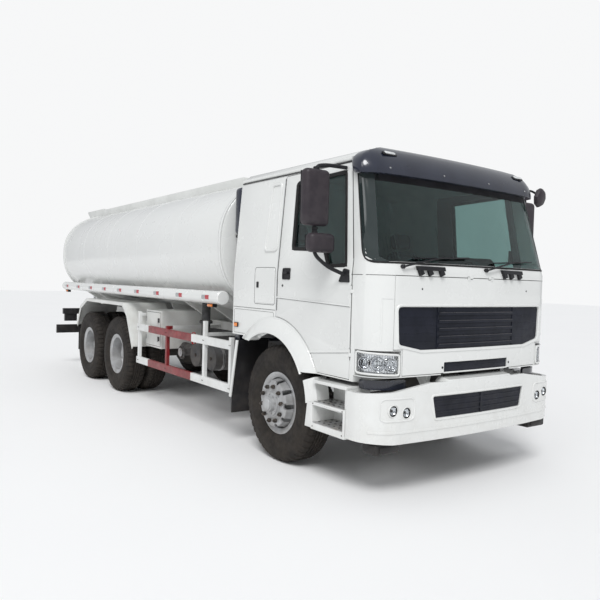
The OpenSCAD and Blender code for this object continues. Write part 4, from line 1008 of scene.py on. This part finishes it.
for s in SIGNS:
    loop = [(s * a, z) for a, z in rect(0.80, 1.10, 0.655, 0.825, 0.05)]
    p.ring(dense(loop, 0.03), bumper, 0.004, 0.012, -0.008, 0.006, 0, 0.005)
    p.box((4.42, s * 0.86, 0.375), (4.58, s * 1.13, 0.462), 0.016, 5, 3)
    p.box((4.575, s * 0.90, 0.395), (4.59, s * 1.09, 0.44), 0.006, 5)
    under = [(s * a, z) for a, z in rect(0.79, 1.30, 0.875, 0.955, 0.02)]
    p.skin(dense(under, 0.04), sunk(nose, 0.06), -0.02, 0.0, 6, 0.05)
bm = bmesh.new()
rows = []
for j in range(25):
    u = -0.445 + 0.89 * j / 24
    c_ = 0.045 * (u / 0.9) ** 2
    drop = 0.03 * max(0, (abs(u) - 0.40) / 0.045) ** 2
    rows.append([bm.verts.new((x - c_, u, z - (drop if z > 0.91 else 0))) for x, z in
                 ((4.665, 0.90), (4.695, 0.925), (4.697, 0.938), (4.688, 0.948), (4.60, 0.962),
                  (4.57, 0.962), (4.57, 0.90))])
p.loft(bm, rows)
p.done()

FOG = [(1.006, 0.732, 0.047), (0.874, 0.709, 0.047)]
p = Piece("fog_lamp_sets", "chassis", WHITE, CHROME, CLEAR, BLACK, AMBER)
for s in SIGNS:
    for i, (y, z, r) in enumerate(FOG):
        a = math.asin(min(1, max(0, (y - 0.9) / 0.335)))
        x = 4.40 + 0.255 * math.cos(a) if y > 0.9 else 4.657
        mx = frame_to((x - 0.036, s * y, z), (x + 0.1, s * y, z))
        p.lathe([(0, 0), (0.02, 0.001), (0.036, 0.010), (0.044, 0.026), (0.044, 0.030)], mx, 1, 36)
        p.lathe([(0.043, 0.018), (0.043, 0.036), (0.047, 0.040), (0.0525, 0.036), (0.0525, 0.0)],
                mx, 0, 40)
        p.lathe([(0, 0.030), (0.03, 0.028), (0.043, 0.020), (0.043, 0.018), (0.03, 0.025),
                 (0, 0.027)],
                mx, 2, 36)
        p.lathe([(0, 0.002), (0.012, 0.004), (0.012, 0.016), (0, 0.018)], mx, 3, 20)
        p.lathe([(0.036, 0.028), (0.036, 0.033), (0.044, 0.035), (0.044, 0.028)], mx, 3, 36)
p.done(40, ["fog_lamps"])

st_lo, st_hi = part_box("step_boxes")
p = Piece("step_treads", "chassis", PLATE, RUBBER, PAINTED_SHADE, NUT)
for s in SIGNS:
    x0, x1 = st_lo[0] + 0.115, st_hi[0] - 0.03
    for z, ya, yb in ((0.5205, 0.992, 1.232), (0.7005, 1.0, 1.225)):
        p.box((x0, s * ya, z), (x1, s * yb, z + 0.006), 0.002, 0)
        p.box((x0, s * (yb - 0.012), z - 0.012), (x1, s * (yb + 0.001), z + 0.0075), 0.003, 0)
        for i in range(6):
            xx = x0 + 0.03 + i * (x1 - x0 - 0.06) / 5
            for k in range(3):
                yy = ya + 0.05 + k * 0.07
                # Dark discs on the tread: painted shade in its holes.
                p.cyl((xx, s * yy, z + 0.0055), (xx, s * yy, z + 0.0085), 0.012, 2, 14, 0.001)
    for x, z in ((x0, 0.49), (x1, 0.49), (x0, 0.686), (x1, 0.686)):
        p.cyl((x, s * 1.234, z), (x, s * 1.2385, z), 0.006, 3, 12, 0.002)
p.done()

# ---------------------------------------------------------------- cab shell


def shell_side(c, n):
    """1 for the cab shell's inner faces, 2 for its underside, 0 for paint."""
    if c.z < 1.42 and (n.z < -0.6 or abs(c.y) < 0.47) and c.x < 4.5:
        return 2
    inside = abs(c.y) < side_y(c.z) - 0.025 and 2.36 < c.x < 4.44 - max(0, c.z - BELT) * LEAN
    return 1 if inside and 1.18 < c.z < 2.9 else 0


soft("cab_shell", WHITE, LINING, DARK, width=0.005, seg=2, over=30, pick=shell_side)
soft("wheel_arches", WHITE, width=0.012, seg=3, over=40)
dress(GLASS, "windscreen", "door_glass_left", "door_glass_right")

VISOR = [(-0.03, 2.634), (0.045, 2.626), (0.068, 2.632), (0.076, 2.66), (0.077, 2.70),
         (0.070, 2.745),
         (0.052, 2.79), (0.025, 2.832), (-0.015, 2.866), (-0.07, 2.890), (-0.13, 2.898), (-0.16,
                                                                                          2.888),
         (-0.16, 2.85), (-0.05, 2.80), (0.02, 2.72), (0.035, 2.66), (0.0, 2.652)]
VISOR_END = 1.20


def visor_row(u):
    e = max(0.0, (abs(u) - (VISOR_END - 0.10)) / 0.10)
    k = math.sqrt(max(0.0, 1 - e * e))
    return [nose(u, 2.76 + (z - 2.76) * (0.72 + 0.28 * k), o * (0.35 + 0.65 * k) if o > 0 else o)
            for o, z in VISOR]


p = Piece("visor", "cab", NAVY)
bm = bmesh.new()
rows = [[bm.verts.new(q) for q in visor_row(VISOR_END * math.sin(rad(-90 + 180 * j / 72)))]
        for j in range(73)]
p.loft(bm, rows)
p.done(50, ["sun_visor"])


ARC_X, ARC_Z = 3.125, 0.602
p = Piece("arch_lips", "cab", WHITE, RUBBER)
for s in SIGNS:
    for r, y, w, m in ((0.634, 1.227, 0.011, 0), (0.774, 1.166, 0.008, 0)):
        a1 = rad(29 if m == 0 else 25)
        a0 = math.pi - math.asin((1.13 - ARC_Z) / r)
        pts = [(ARC_X + r * math.cos(a1 + (a0 - a1) * j / 48), s * y,
                ARC_Z + r * math.sin(a1 + (a0 - a1) * j / 48)) for j in range(49)]
        p.sweep(pts,
                [(w * math.cos(k * math.pi / 5),
                  w * math.sin(k * math.pi / 5)) for k in range(10)], m)
p.done()

SCREEN_LOW, SCREEN_TOP = 1.91, 2.688
screen = []
for cy, a0, a1 in ((-1.04, 180, 250), (1.04, 290, 360)):
    for a in range(a0, a1 + 1, 14):
        screen.append((cy + 0.06 * math.cos(rad(a)), SCREEN_LOW + 0.06 + 0.06 * math.sin(rad(a))))
screen += [(1.02, SCREEN_TOP), (-1.02, SCREEN_TOP)]


def arc(y):
    """Distance along the plan curve of the point at that y."""
    lo, hi = 0.9, ARC
    for _ in range(24 if abs(y) > 0.9 else 0):
        u = (lo + hi) / 2
        lo, hi = (u, hi) if abs(nose(u, BELT)[1]) < abs(y) else (lo, u)
    return math.copysign(lo, y) if abs(y) > 0.9 else y


def front_yz(y, z, out):
    """put() for the front with y itself in place of the distance along the curve."""
    return nose(arc(y), z, out)


p = Piece("windscreen_seal", "cab", RUBBER, BLACK, STEEL, FRIT)
SIDE_LOW, SIDE_TOP = 1.225, 1.150
loop = dense(fillet([(-SIDE_LOW, SCREEN_LOW - 0.004), (SIDE_LOW, SCREEN_LOW - 0.004),
                     (SIDE_TOP, 2.70), (-SIDE_TOP, 2.70)], [0.11, 0.11, 0.05, 0.05], 8), 0.05)
p.ring(loop, nose, 0.006, 0.009, -0.002, 0.007, 0, 0.004)
for s in SIGNS:
    # Dark border of the bonded glass, from the opening's edge round the corner.
    rows, bm = [], bmesh.new()
    for j in range(21):
        z = 1.912 + 0.785 * j / 20
        t = (z - 1.97) / 0.718
        inner_ = arc(max(0.9, 1.10 - 0.08 * max(0, t) - 0.02) if z > 1.95 else 1.02)
        outer_ = SIDE_LOW + (SIDE_TOP - SIDE_LOW) * (z - SCREEN_LOW) / 0.79
        low = max(0.0, 0.11 - (z - SCREEN_LOW)) / 0.11
        outer_ -= 0.10 * (1 - math.sqrt(max(0, 1 - low * low)))
        rows.append([bm.verts.new(nose(s * (inner_ + (outer_ - inner_) * k / 6), z, o))
                     for o, ks in ((0.003, range(7)), (-0.001, range(6, -1, -1))) for k in ks])
    p.loft(bm, rows, 3)
# Black band behind the top of the windscreen: painted shadow of the visor.
sun = [(-1.028, 2.575), (1.028, 2.575), (1.02, 2.68), (-1.02, 2.68)]
p.skin(dense(sun, 0.08), front_yz, -0.012, -0.004, 1, 0.08)
p.done()

p = Piece("wipers", "cab", BLACK, RUBBER, STEEL)
for y0, y1, ax in ((-0.80, -0.14, -0.915), (0.18, 0.80, 0.065)):
    foot = nose(ax, 1.875, 0.012)
    p.cyl(nose(ax, 1.875, -0.004), nose(ax, 1.875, 0.03), 0.017, 0, 20, 0.004)
    head = front_yz((y0 + y1) / 2, 1.965, 0.035)
    p.tube([nose(ax, 1.875, 0.028), nose(ax + (0.1 if y1 > ax + 0.3 else -0.1), 1.90, 0.04), head],
           0.008, 0, 10, 0.03)
    blade = [front_yz(y0 + (y1 - y0) * j / 10, 1.945 + 0.03 * j / 10, 0.022) for j in range(11)]
    p.tube(blade, 0.006, 0, 8)
    p.tube([Vector(b) - Vector((0.010, 0, 0)) for b in blade], 0.004, 1, 6)
for u in (-0.62, 0.44):
    strip(p, [(u - 0.15, 1.868), (u + 0.15, 1.868)], nose, 0.034, 0.030, 0)
    for du in (-0.12, -0.02, 0.11):
        strip(p, [(u + du, 1.86), (u + du + 0.02, 1.815)], nose, 0.045, 0.026, 0)
p.done()

p = Piece("visor_trim", "cab", BLACK, WHITELENS, STEEL)
for s in SIGNS:
    q = Vector(nose(s * 0.86, 2.806, 0.045))
    mx = Matrix.Translation(q) @ Matrix.Rotation(rad(38), 4, "Y")
    p.box((-0.02, -0.075, -0.004), (0.02, 0.075, 0.010), 0.006, 0, 3, mx)
    p.box((-0.015, -0.055, 0.006), (0.015, 0.055, 0.020), 0.008, 1, 3, mx)
    for u, z, o in ((0.30, 2.68, 0.076), (0.90, 2.68, 0.074), (1.02, 2.83, 0.022)):
        q = Vector(nose(s * u, z, o))
        p.cyl(q, q + Vector((0.006, 0, 0.002)), 0.008, 2, 16, 0.002)
p.done()

# An eight-sided mirror over the left front corner, on a bracket under the visor's end.
p = Piece("corner_mirror", "cab", PLUM, BLACK, MIRROR)
q = Vector((4.36, 1.215, 2.655))
p.lathe([(0, 0.055), (0.06, 0.052), (0.088, 0.035), (0.097, 0.012), (0.097, 0.0), (0.09, -0.004),
         (0, -0.004)], frame_to(q, q + Vector((1, 0.15, -0.15))), 0, 8)
p.lathe([(0, -0.012), (0.05, -0.010), (0.084, -0.0045), (0.084, -0.003), (0, -0.003)],
        frame_to(q, q + Vector((1, 0.15, -0.15))), 2, 32)
p.tube([(4.30, 1.075, 2.72), (4.34, 1.13, 2.715), (4.37, 1.20, 2.68)], 0.011, 1, 12, 0.02)
p.done()

p = Piece("arch_feet", "chassis", WHITE)
for s in SIGNS:
    bm, rows = bmesh.new(), []
    for j in range(13):
        a = rad(6 + 17 * j / 12)
        rows.append([bm.verts.new((ARC_X + r * math.cos(a), s * y, ARC_Z + r * math.sin(a)))
                     for r, y in ((0.655, 1.05), (0.645, 1.215), (0.65, 1.228), (0.662, 1.236),
                                  (0.69, 1.232), (0.765, 1.185), (0.765, 1.05))])
    p.loft(bm, rows)
p.done()

p = Piece("cab_side_trim", "cab", WHITE, PAINTED_SHADE, RUBBER, BLACK, AMBER, STEEL)
for s in SIGNS:
    put = flank(s)
    gutter = [put(2.345 + 1.79 * j / 30, 2.775, 0.002) for j in range(31)]
    p.tube(gutter, 0.020, 0, 14)
    # Painted shade: a dark line under the gutter, and one along the panel seam below.
    strip(p, [(2.345, 2.752), (4.135, 2.752)], put, 0.010, 0.012, 1)
    strip(p, [(2.335, 1.45), (3.148, 1.45)], put, 0.005, 0.0015, 1)
    lock = rect(2.76, 3.13, 1.50, 1.86, 0.03)
    # Painted shade in the gap round the locker door.
    p.ring(dense(lock, 0.06), put, 0.0, 0.004, -0.002, 0.0016, 1, 0.0005)
    p.skin(dense(rect(2.768, 3.122, 1.508, 1.852, 0.026), 0.08), put, -0.002, 0.004, 0, 0.09)
    p.box((2.80, s * 1.160, 1.66), (2.84, s * 1.170, 1.72), 0.005, 3, 3)
    low = rect(2.36, 3.12, 1.18, 1.425, 0.02)
    # Painted shade in the gap round the lower panel.
    p.ring(dense(low, 0.08), put, 0.0, 0.003, -0.002, 0.0012, 1, 0.0004)
    recess = fillet([(2.905, 2.03), (3.125, 2.03), (3.108, 2.68), (2.945, 2.68)], 0.045)
    p.ring(dense(recess, 0.05), put, 0.016, 0.012, -0.002, 0.013, 0, 0.011)
    p.box((2.37, s * 1.16, 1.235), (2.45, s * 1.172, 1.285), 0.005, 3, 3)
    p.box((2.377, s * 1.17, 1.241), (2.443, s * 1.178, 1.279), 0.005, 4, 3)
    strip(p, [(4.275, 1.10), (4.275, 1.93), (4.148, 2.735)], put, 0.006, 0.002, 2)
    # Painted shade: a dark seam line round the front corner.
    strip(p, [(s * 0.984, 1.803), (s * 1.365, 1.803)], nose, 0.005, 0.0015, 1)
    strip(p, [(s * 0.985, 1.62), (s * 1.075, 1.62), (s * 1.075, 1.27)], nose, 0.012, 0.004, 0)
p.done()

p = Piece("intake_cowl", "chassis", NAVY, BLACK)
p.box((2.165, -1.085, 2.22), (2.31, -0.86, 2.735), 0.05, 0, 5)
for z in (1.35, 1.85, 2.19):
    p.box((2.184, -1.067, z), (2.306, -0.873, z + 0.03), 0.003, 1)
p.done()

# ---------------------------------------------------------------- front

p = Piece("headlamp_sets", "cab", WHITE, CHROME, CLEAR, BLACK, AMBER, GRILLE)
for s in SIGNS:
    loop = [(s * a, z) for a, z in fillet([(0.914, 1.002), (1.285, 1.012), (1.285, 1.19),
                                          (0.914, 1.172)], 0.03)]
    loop = dense(loop, 0.03)
    p.skin(loop, nose, -0.068, -0.062, 1, 0.04)
    p.ring(loop, nose, 0.012, 0.005, -0.066, 0.006, 0, 0.005)
    inner = shift(loop if area(loop) > 0 else loop[::-1], -0.011)
    p.skin(inner, nose, -0.006, -0.002, 2, 0.03)
    for i in range(16):
        u = 0.93 + 0.0225 * i
        strip(p, [(s * u, 1.015), (s * u, 1.168)], nose, 0.016, -0.054 + 0.006 * (i % 2), 1, -0.064)
    for u, z, r in ((0.985, 1.085, 0.052), (1.10, 1.092, 0.060), (1.215, 1.098, 0.050)):
        a, b = Vector(nose(s * u, z, -0.062)), Vector(nose(s * u, z, 0.1))
        b = a + (b - a).normalized() * 0.05 + Vector((0.03, 0, 0))
        mx = frame_to(a, b)
        p.lathe([(0, 0.0), (0.3 * r, 0.002), (0.7 * r, 0.012), (0.95 * r, 0.034), (r, 0.046),
                 (r + 0.004, 0.046), (r + 0.004, 0.0)], mx, 1, 36,
                lambda j, i: 0.0012 * (j % 3) if 0 < i < 4 else 0)
        p.lathe([(0, 0.040), (0.016, 0.038), (0.026, 0.030), (0.029, 0.020), (0.029, 0.002)], mx,
                2, 32)
        p.lathe([(0.029, 0.002), (0.034, 0.004), (0.034, 0.020), (0.030, 0.024)], mx, 1, 32)
p.done(38, ["headlamps"])

soft("front_flap", WHITE, width=0.006, seg=3, over=35)
soft("front_grille", GRILLE, width=0.003, over=35)
MESH = [(-0.693, 1.189), (0.693, 1.189), (0.936, 1.241), (0.955, 1.565), (-0.955, 1.565),
        (-0.936, 1.241)]
p = Piece("grille_trim", "front_flap", WHITE, GRILLE, SLAT, PAINTED_SHADE, BLACK)
p.ring(dense(fillet(MESH, 0.05), 0.05), front_yz, 0.012, 0.016, -0.026, 0.007, 0, 0.008)
for i in range(5):
    z = 1.232 + i * 0.066
    strip(p, [(-0.50, z), (0.50, z)], sunk(nose, 0.012), 0.026, 0.008, 1)
    strip(p, [(-0.49, z + 0.011), (0.49, z + 0.011)], sunk(nose, 0.006), 0.007,
          0.004, 2)
for u in (-0.505, 0.505):
    strip(p, [(u, 1.192), (u, 1.562)], sunk(nose, 0.012), 0.014, 0.004, 1)
for s in SIGNS:
    for i in range(4):
        z = 1.27 + i * 0.066
        strip(p, [(s * 0.53, z), (s * 0.91, z)], sunk(nose, 0.014), 0.003, 0.001, 1)
    p.cyl(nose(s * 0.445, 1.046, -0.03), nose(s * 0.445, 1.046, 0.006), 0.010, 4, 16, 0.003)
    # A small dark disc of painted shade on each side of the flap.
    p.cyl(nose(s * 0.70, 1.70, -0.004), nose(s * 0.70, 1.70, 0.003), 0.008, 3, 16, 0.002)
slot_loop = rect(-0.43, 0.43, 1.003, 1.092, 0.012)
p.ring(dense(slot_loop, 0.06), front_yz, 0.004, 0.008, -0.012, 0.002, 0, 0.003)
strip(p, [(-0.42, 1.047), (0.42, 1.047)], sunk(nose, 0.012), 0.010, 0.0, 1)
p.done()

# ---------------------------------------------------------------- doors

WIN = [(3.355, 2.640), (3.372, 2.024), (3.860, 2.002), (3.930, 1.862), (4.198, 1.866),
       (4.085, 2.684), (3.385, 2.662)]
for side, s in SIDES:
    body = f"door_{side}"
    put = flank(s)

    def door_paint(c, n, s=s):
        return 1 if abs(c.y) < side_y(c.z) - 0.012 and 0.99 < c.z < 2.7 and 3.2 < c.x < 4.23 else 0

    soft(body, WHITE, TRIM, width=0.006, seg=2, over=30, pick=door_paint)
    p = Piece(f"door_trim_{side}", body, RUBBER, BLACK, WHITE, PAINTED_SHADE, STEEL)
    win = dense(fillet(WIN, [0.05, 0.05, 0.04, 0.03, 0.04, 0.05, 0.0]), 0.05)
    p.ring(win, put, 0.030, 0.006, -0.022, 0.003, 0, 0.005)
    square = dense(rect(3.262, 3.382, 1.752, 1.852, 0.012), 0.05)
    p.skin(square, put, -0.003, 0.0035, 1, 0.05)
    p.ring(square, put, 0.006, 0.004, -0.003, 0.008, 1, 0.002)
    q = put(3.29, 1.800, 0.004)
    p.box(q, (q[0] + 0.065, q[1] + s * 0.016, q[2] + 0.022), 0.006, 1, 3)
    p.cyl(put(3.262, 1.690, 0.0), put(3.262, 1.690, 0.005), 0.011, 1, 20, 0.002)
    strip(p, [(3.40, 1.128), (3.72, 1.112), (4.255, 1.172)], put, 0.022, 0.006, 2)
    # Painted shade: a thin dark line under the crease strip.
    strip(p, [(3.40, 1.116), (3.72, 1.100), (4.255, 1.160)], put, 0.004, 0.003, 3)
    strip(p, [(3.175, 1.578), (4.255, 1.545)], put, 0.014, 0.007, 2)
    # Painted shade: a thin dark line under the crease strip.
    strip(p, [(3.175, 1.569), (4.255, 1.536)], put, 0.003, 0.004, 3)
    strip(p, [(3.172, 1.45), (3.172, 2.71)], put, 0.008, 0.003, 0)
    pocket = rect(3.45, 4.10, 1.22, 1.36, 0.03)
    inn = lambda x, z, o: (x, s * (side_y(z) - 0.053 - o), z)
    p.skin(dense(pocket, 0.08), inn, -0.003, 0.030, 1, 0.08)
    p.skin(dense(rect(3.40, 4.0, 1.60, 1.66, 0.025), 0.08), inn, -0.003, 0.045, 1, 0.08)
    p.done()

    mir_x, mir_y = 4.06, s * 1.40
    p = Piece(f"mirror_set_{side}", BODY[f"mirrors_{side}"], PLUM, BLACK, MIRROR, STEEL)
    for z0, z1, y0, y1 in ((2.19, 2.65, 1.285, 1.535), (1.975, 2.135, 1.215, 1.475)):
        p.box((mir_x - 0.04, s * y0, z0), (mir_x + 0.065, s * y1, z1), 0.042, 0, 5)
        p.box((mir_x - 0.043, s * (y0 + 0.012), z0 + 0.014),
              (mir_x - 0.036, s * (y1 - 0.012), z1 - 0.014),
              0.003, 1)
        p.box((mir_x - 0.0455, s * (y0 + 0.018), z0 + 0.02),
              (mir_x - 0.041, s * (y1 - 0.018), z1 - 0.02),
              0.002, 2)
    for z in (2.17, 2.14, 2.66):
        p.cyl((mir_x + 0.005, mir_y, z - 0.014), (mir_x + 0.005, mir_y, z + 0.014), 0.026, 1, 20,
              0.004)
    p.tube([(mir_x + 0.115, s * 1.163, 1.80), (mir_x + 0.06, s * 1.30, 1.86), (mir_x, mir_y, 1.96),
            (mir_x, mir_y, 2.68),
            (mir_x + 0.005, s * 1.30, 2.70), (mir_x + 0.02, s * 1.095, 2.70)], 0.016, 1, 16, 0.06)
    foot = fillet([(4.10, 1.735), (4.245, 1.735), (4.235, 1.84), (4.165, 1.855)], 0.015)
    p.skin(dense(foot, 0.04), put, -0.002, 0.012, 1, 0.05, 0.005)
    p.done(40, [f"mirrors_{side}"])

# ---------------------------------------------------------------- cab inside

dress(TRIM, "dashboard")
for side, s in SIDES:
    y = s * 0.75
    base = Piece(f"seat_frame_{side}", "cab", TRIM, BLACK, STEEL)
    base.box((3.05, y - 0.16, 1.198), (3.41, y + 0.16, 1.385), 0.02, 0, 3)
    base.box((3.03, y - 0.21, 1.38), (3.47, y + 0.21, 1.405), 0.008, 1)
    base.cyl((3.20, y - 0.262, 1.42), (3.20, y - 0.238, 1.42), 0.02, 2, 18)
    base.done(40, ["seats"] if s > 0 else ())
    for nm, lo, hi, tilt, grow in (
            ("cushion", (3.01, -0.24, 1.405), (3.49, 0.24, 1.53), 0, 0.035),
            ("back", (-0.065, -0.235, 0.0), (0.065, 0.235, 0.62), 12, 0.03),
            ("headrest", (-0.04, -0.14, 0.65), (0.045, 0.14, 0.83), 12, 0.02)):
        bm = bmesh.new()
        bmesh.ops.create_cube(bm, size=2)
        bmesh.ops.subdivide_edges(bm, edges=list(bm.edges), cuts=9, use_grid_fill=True)
        c, h = (Vector(lo) + Vector(hi)) / 2, (Vector(hi) - Vector(lo)) / 2
        thin = 2 if nm == "cushion" else 0
        for v in bm.verts:
            q = v.co.copy()
            n3 = sum(abs(q[k]) ** 5 for k in range(3)) ** 0.2
            q = q / n3
            flat = [k for k in range(3) if k != thin]
            crown = (1 - q[flat[0]] ** 2) * (1 - q[flat[1]] ** 2)
            g = Vector((h[k] * q[k] for k in range(3)))
            g[thin] += math.copysign(grow * crown * 0.5, q[thin]) * (abs(q[thin]) > 0.3)
            seam = math.exp(-((abs(q[1]) - 0.62) / 0.06) ** 2) * 0.008 if nm != "headrest" else 0
            g[thin] -= math.copysign(seam, q[thin])
            v.co = g + c
        for f in bm.faces:
            f.material_index = 1 if abs(f.calc_center_median().y) < h.y * 0.6 else 0
        if tilt:
            bm.transform(Matrix.Translation((3.03, 0, 1.50)) @ Matrix.Rotation(rad(-tilt), 4, "Y"))
        bm.transform(Matrix.Translation((0, y, 0)))
        show(bm, f"seat_{nm}_{side}", nm, (CLOTH, CLOTH2), 60, "cab", "seat_cloth")

soft("steering_wheel", BLACK, width=0.002, over=50)
p = Piece("dash_fittings", "cab", TRIM, BLACK, STEEL, WHITELENS)
p.box((4.10, 0.50, 1.76), (4.28, 1.0, 1.835), 0.03, 0, 4)
p.box((4.094, 0.55, 1.775), (4.104, 0.95, 1.825), 0.004, 1)
for yy in (0.62, 0.75, 0.88):
    p.cyl((4.094, yy, 1.80), (4.088, yy, 1.80), 0.022, 3, 24, 0.002)
for yy in (-0.8, -0.3, 0.2):
    p.box((4.085, yy - 0.09, 1.66), (4.10, yy + 0.09, 1.73), 0.01, 1)
    for k in range(4):
        p.box((4.08, yy - 0.08, 1.672 + k * 0.014), (4.09, yy + 0.08, 1.677 + k * 0.014), 0.001, 0)
p.tube([(3.75, 0.38, 1.44), (3.73, 0.38, 1.62), (3.70, 0.38, 1.72)], 0.009, 2, 12, 0.05)
p.cyl((3.70, 0.38, 1.71), (3.692, 0.38, 1.76), 0.024, 1, 20, 0.01)
p.box((3.66, 0.30, 1.443), (3.84, 0.46, 1.47), 0.015, 1, 3)
p.done()

# ---------------------------------------------------------------- stage

floor = bpy.data.meshes.new("floor")
floor.from_pydata([(-60, -60, 0), (60, -60, 0), (60, 60, 0), (-60, 60, 0)], [], [(0, 1, 2, 3)])
m = Mat("pale_floor")
m.put_in(Base_Color=m.mix(m.ramp(m.noise(3.0), 0.3, 0.7), (0.96, 0.96, 0.957),
                          (0.945, 0.945, 0.945)),
         Roughness=0.9)
floor.materials.append(m.m)
o = bpy.data.objects.new("floor", floor)
bpy.context.scene.collection.objects.link(o)

scene = bpy.context.scene
world = bpy.data.worlds.new("studio")
world.use_nodes = True
scene.world = world
t = world.node_tree
bg = t.nodes["Background"]
bg.inputs["Color"].default_value = (0.95, 0.97, 1.0, 1)
bg.inputs["Strength"].default_value = 0.52
white = t.nodes.new("ShaderNodeBackground")
white.inputs["Color"].default_value = (0.93, 0.935, 0.94, 1)
white.inputs["Strength"].default_value = 1.0
path = t.nodes.new("ShaderNodeLightPath")
mixer = t.nodes.new("ShaderNodeMixShader")
t.links.new(path.outputs["Is Camera Ray"], mixer.inputs[0])
t.links.new(bg.outputs[0], mixer.inputs[1])
t.links.new(white.outputs[0], mixer.inputs[2])
t.links.new(mixer.outputs[0], t.nodes["World Output"].inputs["Surface"])


def lamp(name, at, aim, size, power):
    d = bpy.data.lights.new(name, "AREA")
    d.shape, d.size, d.energy = "DISK", size, power
    q = bpy.data.objects.new(name, d)
    q.location = at
    q.rotation_euler = (Vector(aim) - Vector(at)).to_track_quat("-Z", "Y").to_euler()
    scene.collection.objects.link(q)


lamp("key", (7, -9, 9), (1.5, 0, 1.2), 5, 120)
sun = bpy.data.lights.new("sun", "SUN")
sun.energy, sun.angle = 1.75, rad(24)
q = bpy.data.objects.new("sun", sun)
q.rotation_euler = (Vector((0, 0, 0)) - Vector((5, -4.5, 8))).to_track_quat("-Z", "Y").to_euler()
scene.collection.objects.link(q)

scene.view_settings.view_transform = "Standard"

CAM_AT = Vector((8.16, -4.46, 1.735))
AZ, EL, ROLL = rad(54.39), rad(1.72), rad(1.61)
back = Vector((math.sin(AZ) * math.cos(EL), -math.cos(AZ) * math.cos(EL), math.sin(EL)))
right = Vector((math.cos(AZ), math.sin(AZ), 0))
up = back.cross(right)
cam_x = math.cos(ROLL) * right + math.sin(ROLL) * up
cam_y = -math.sin(ROLL) * right + math.cos(ROLL) * up
cam = bpy.data.cameras.new("camera")
cam.lens, cam.sensor_width = 37.4, 36
o = bpy.data.objects.new("camera", cam)
o.matrix_world = Matrix((cam_x, cam_y, back)).transposed().to_4x4()
o.location = CAM_AT
scene.collection.objects.link(o)
scene.camera = o
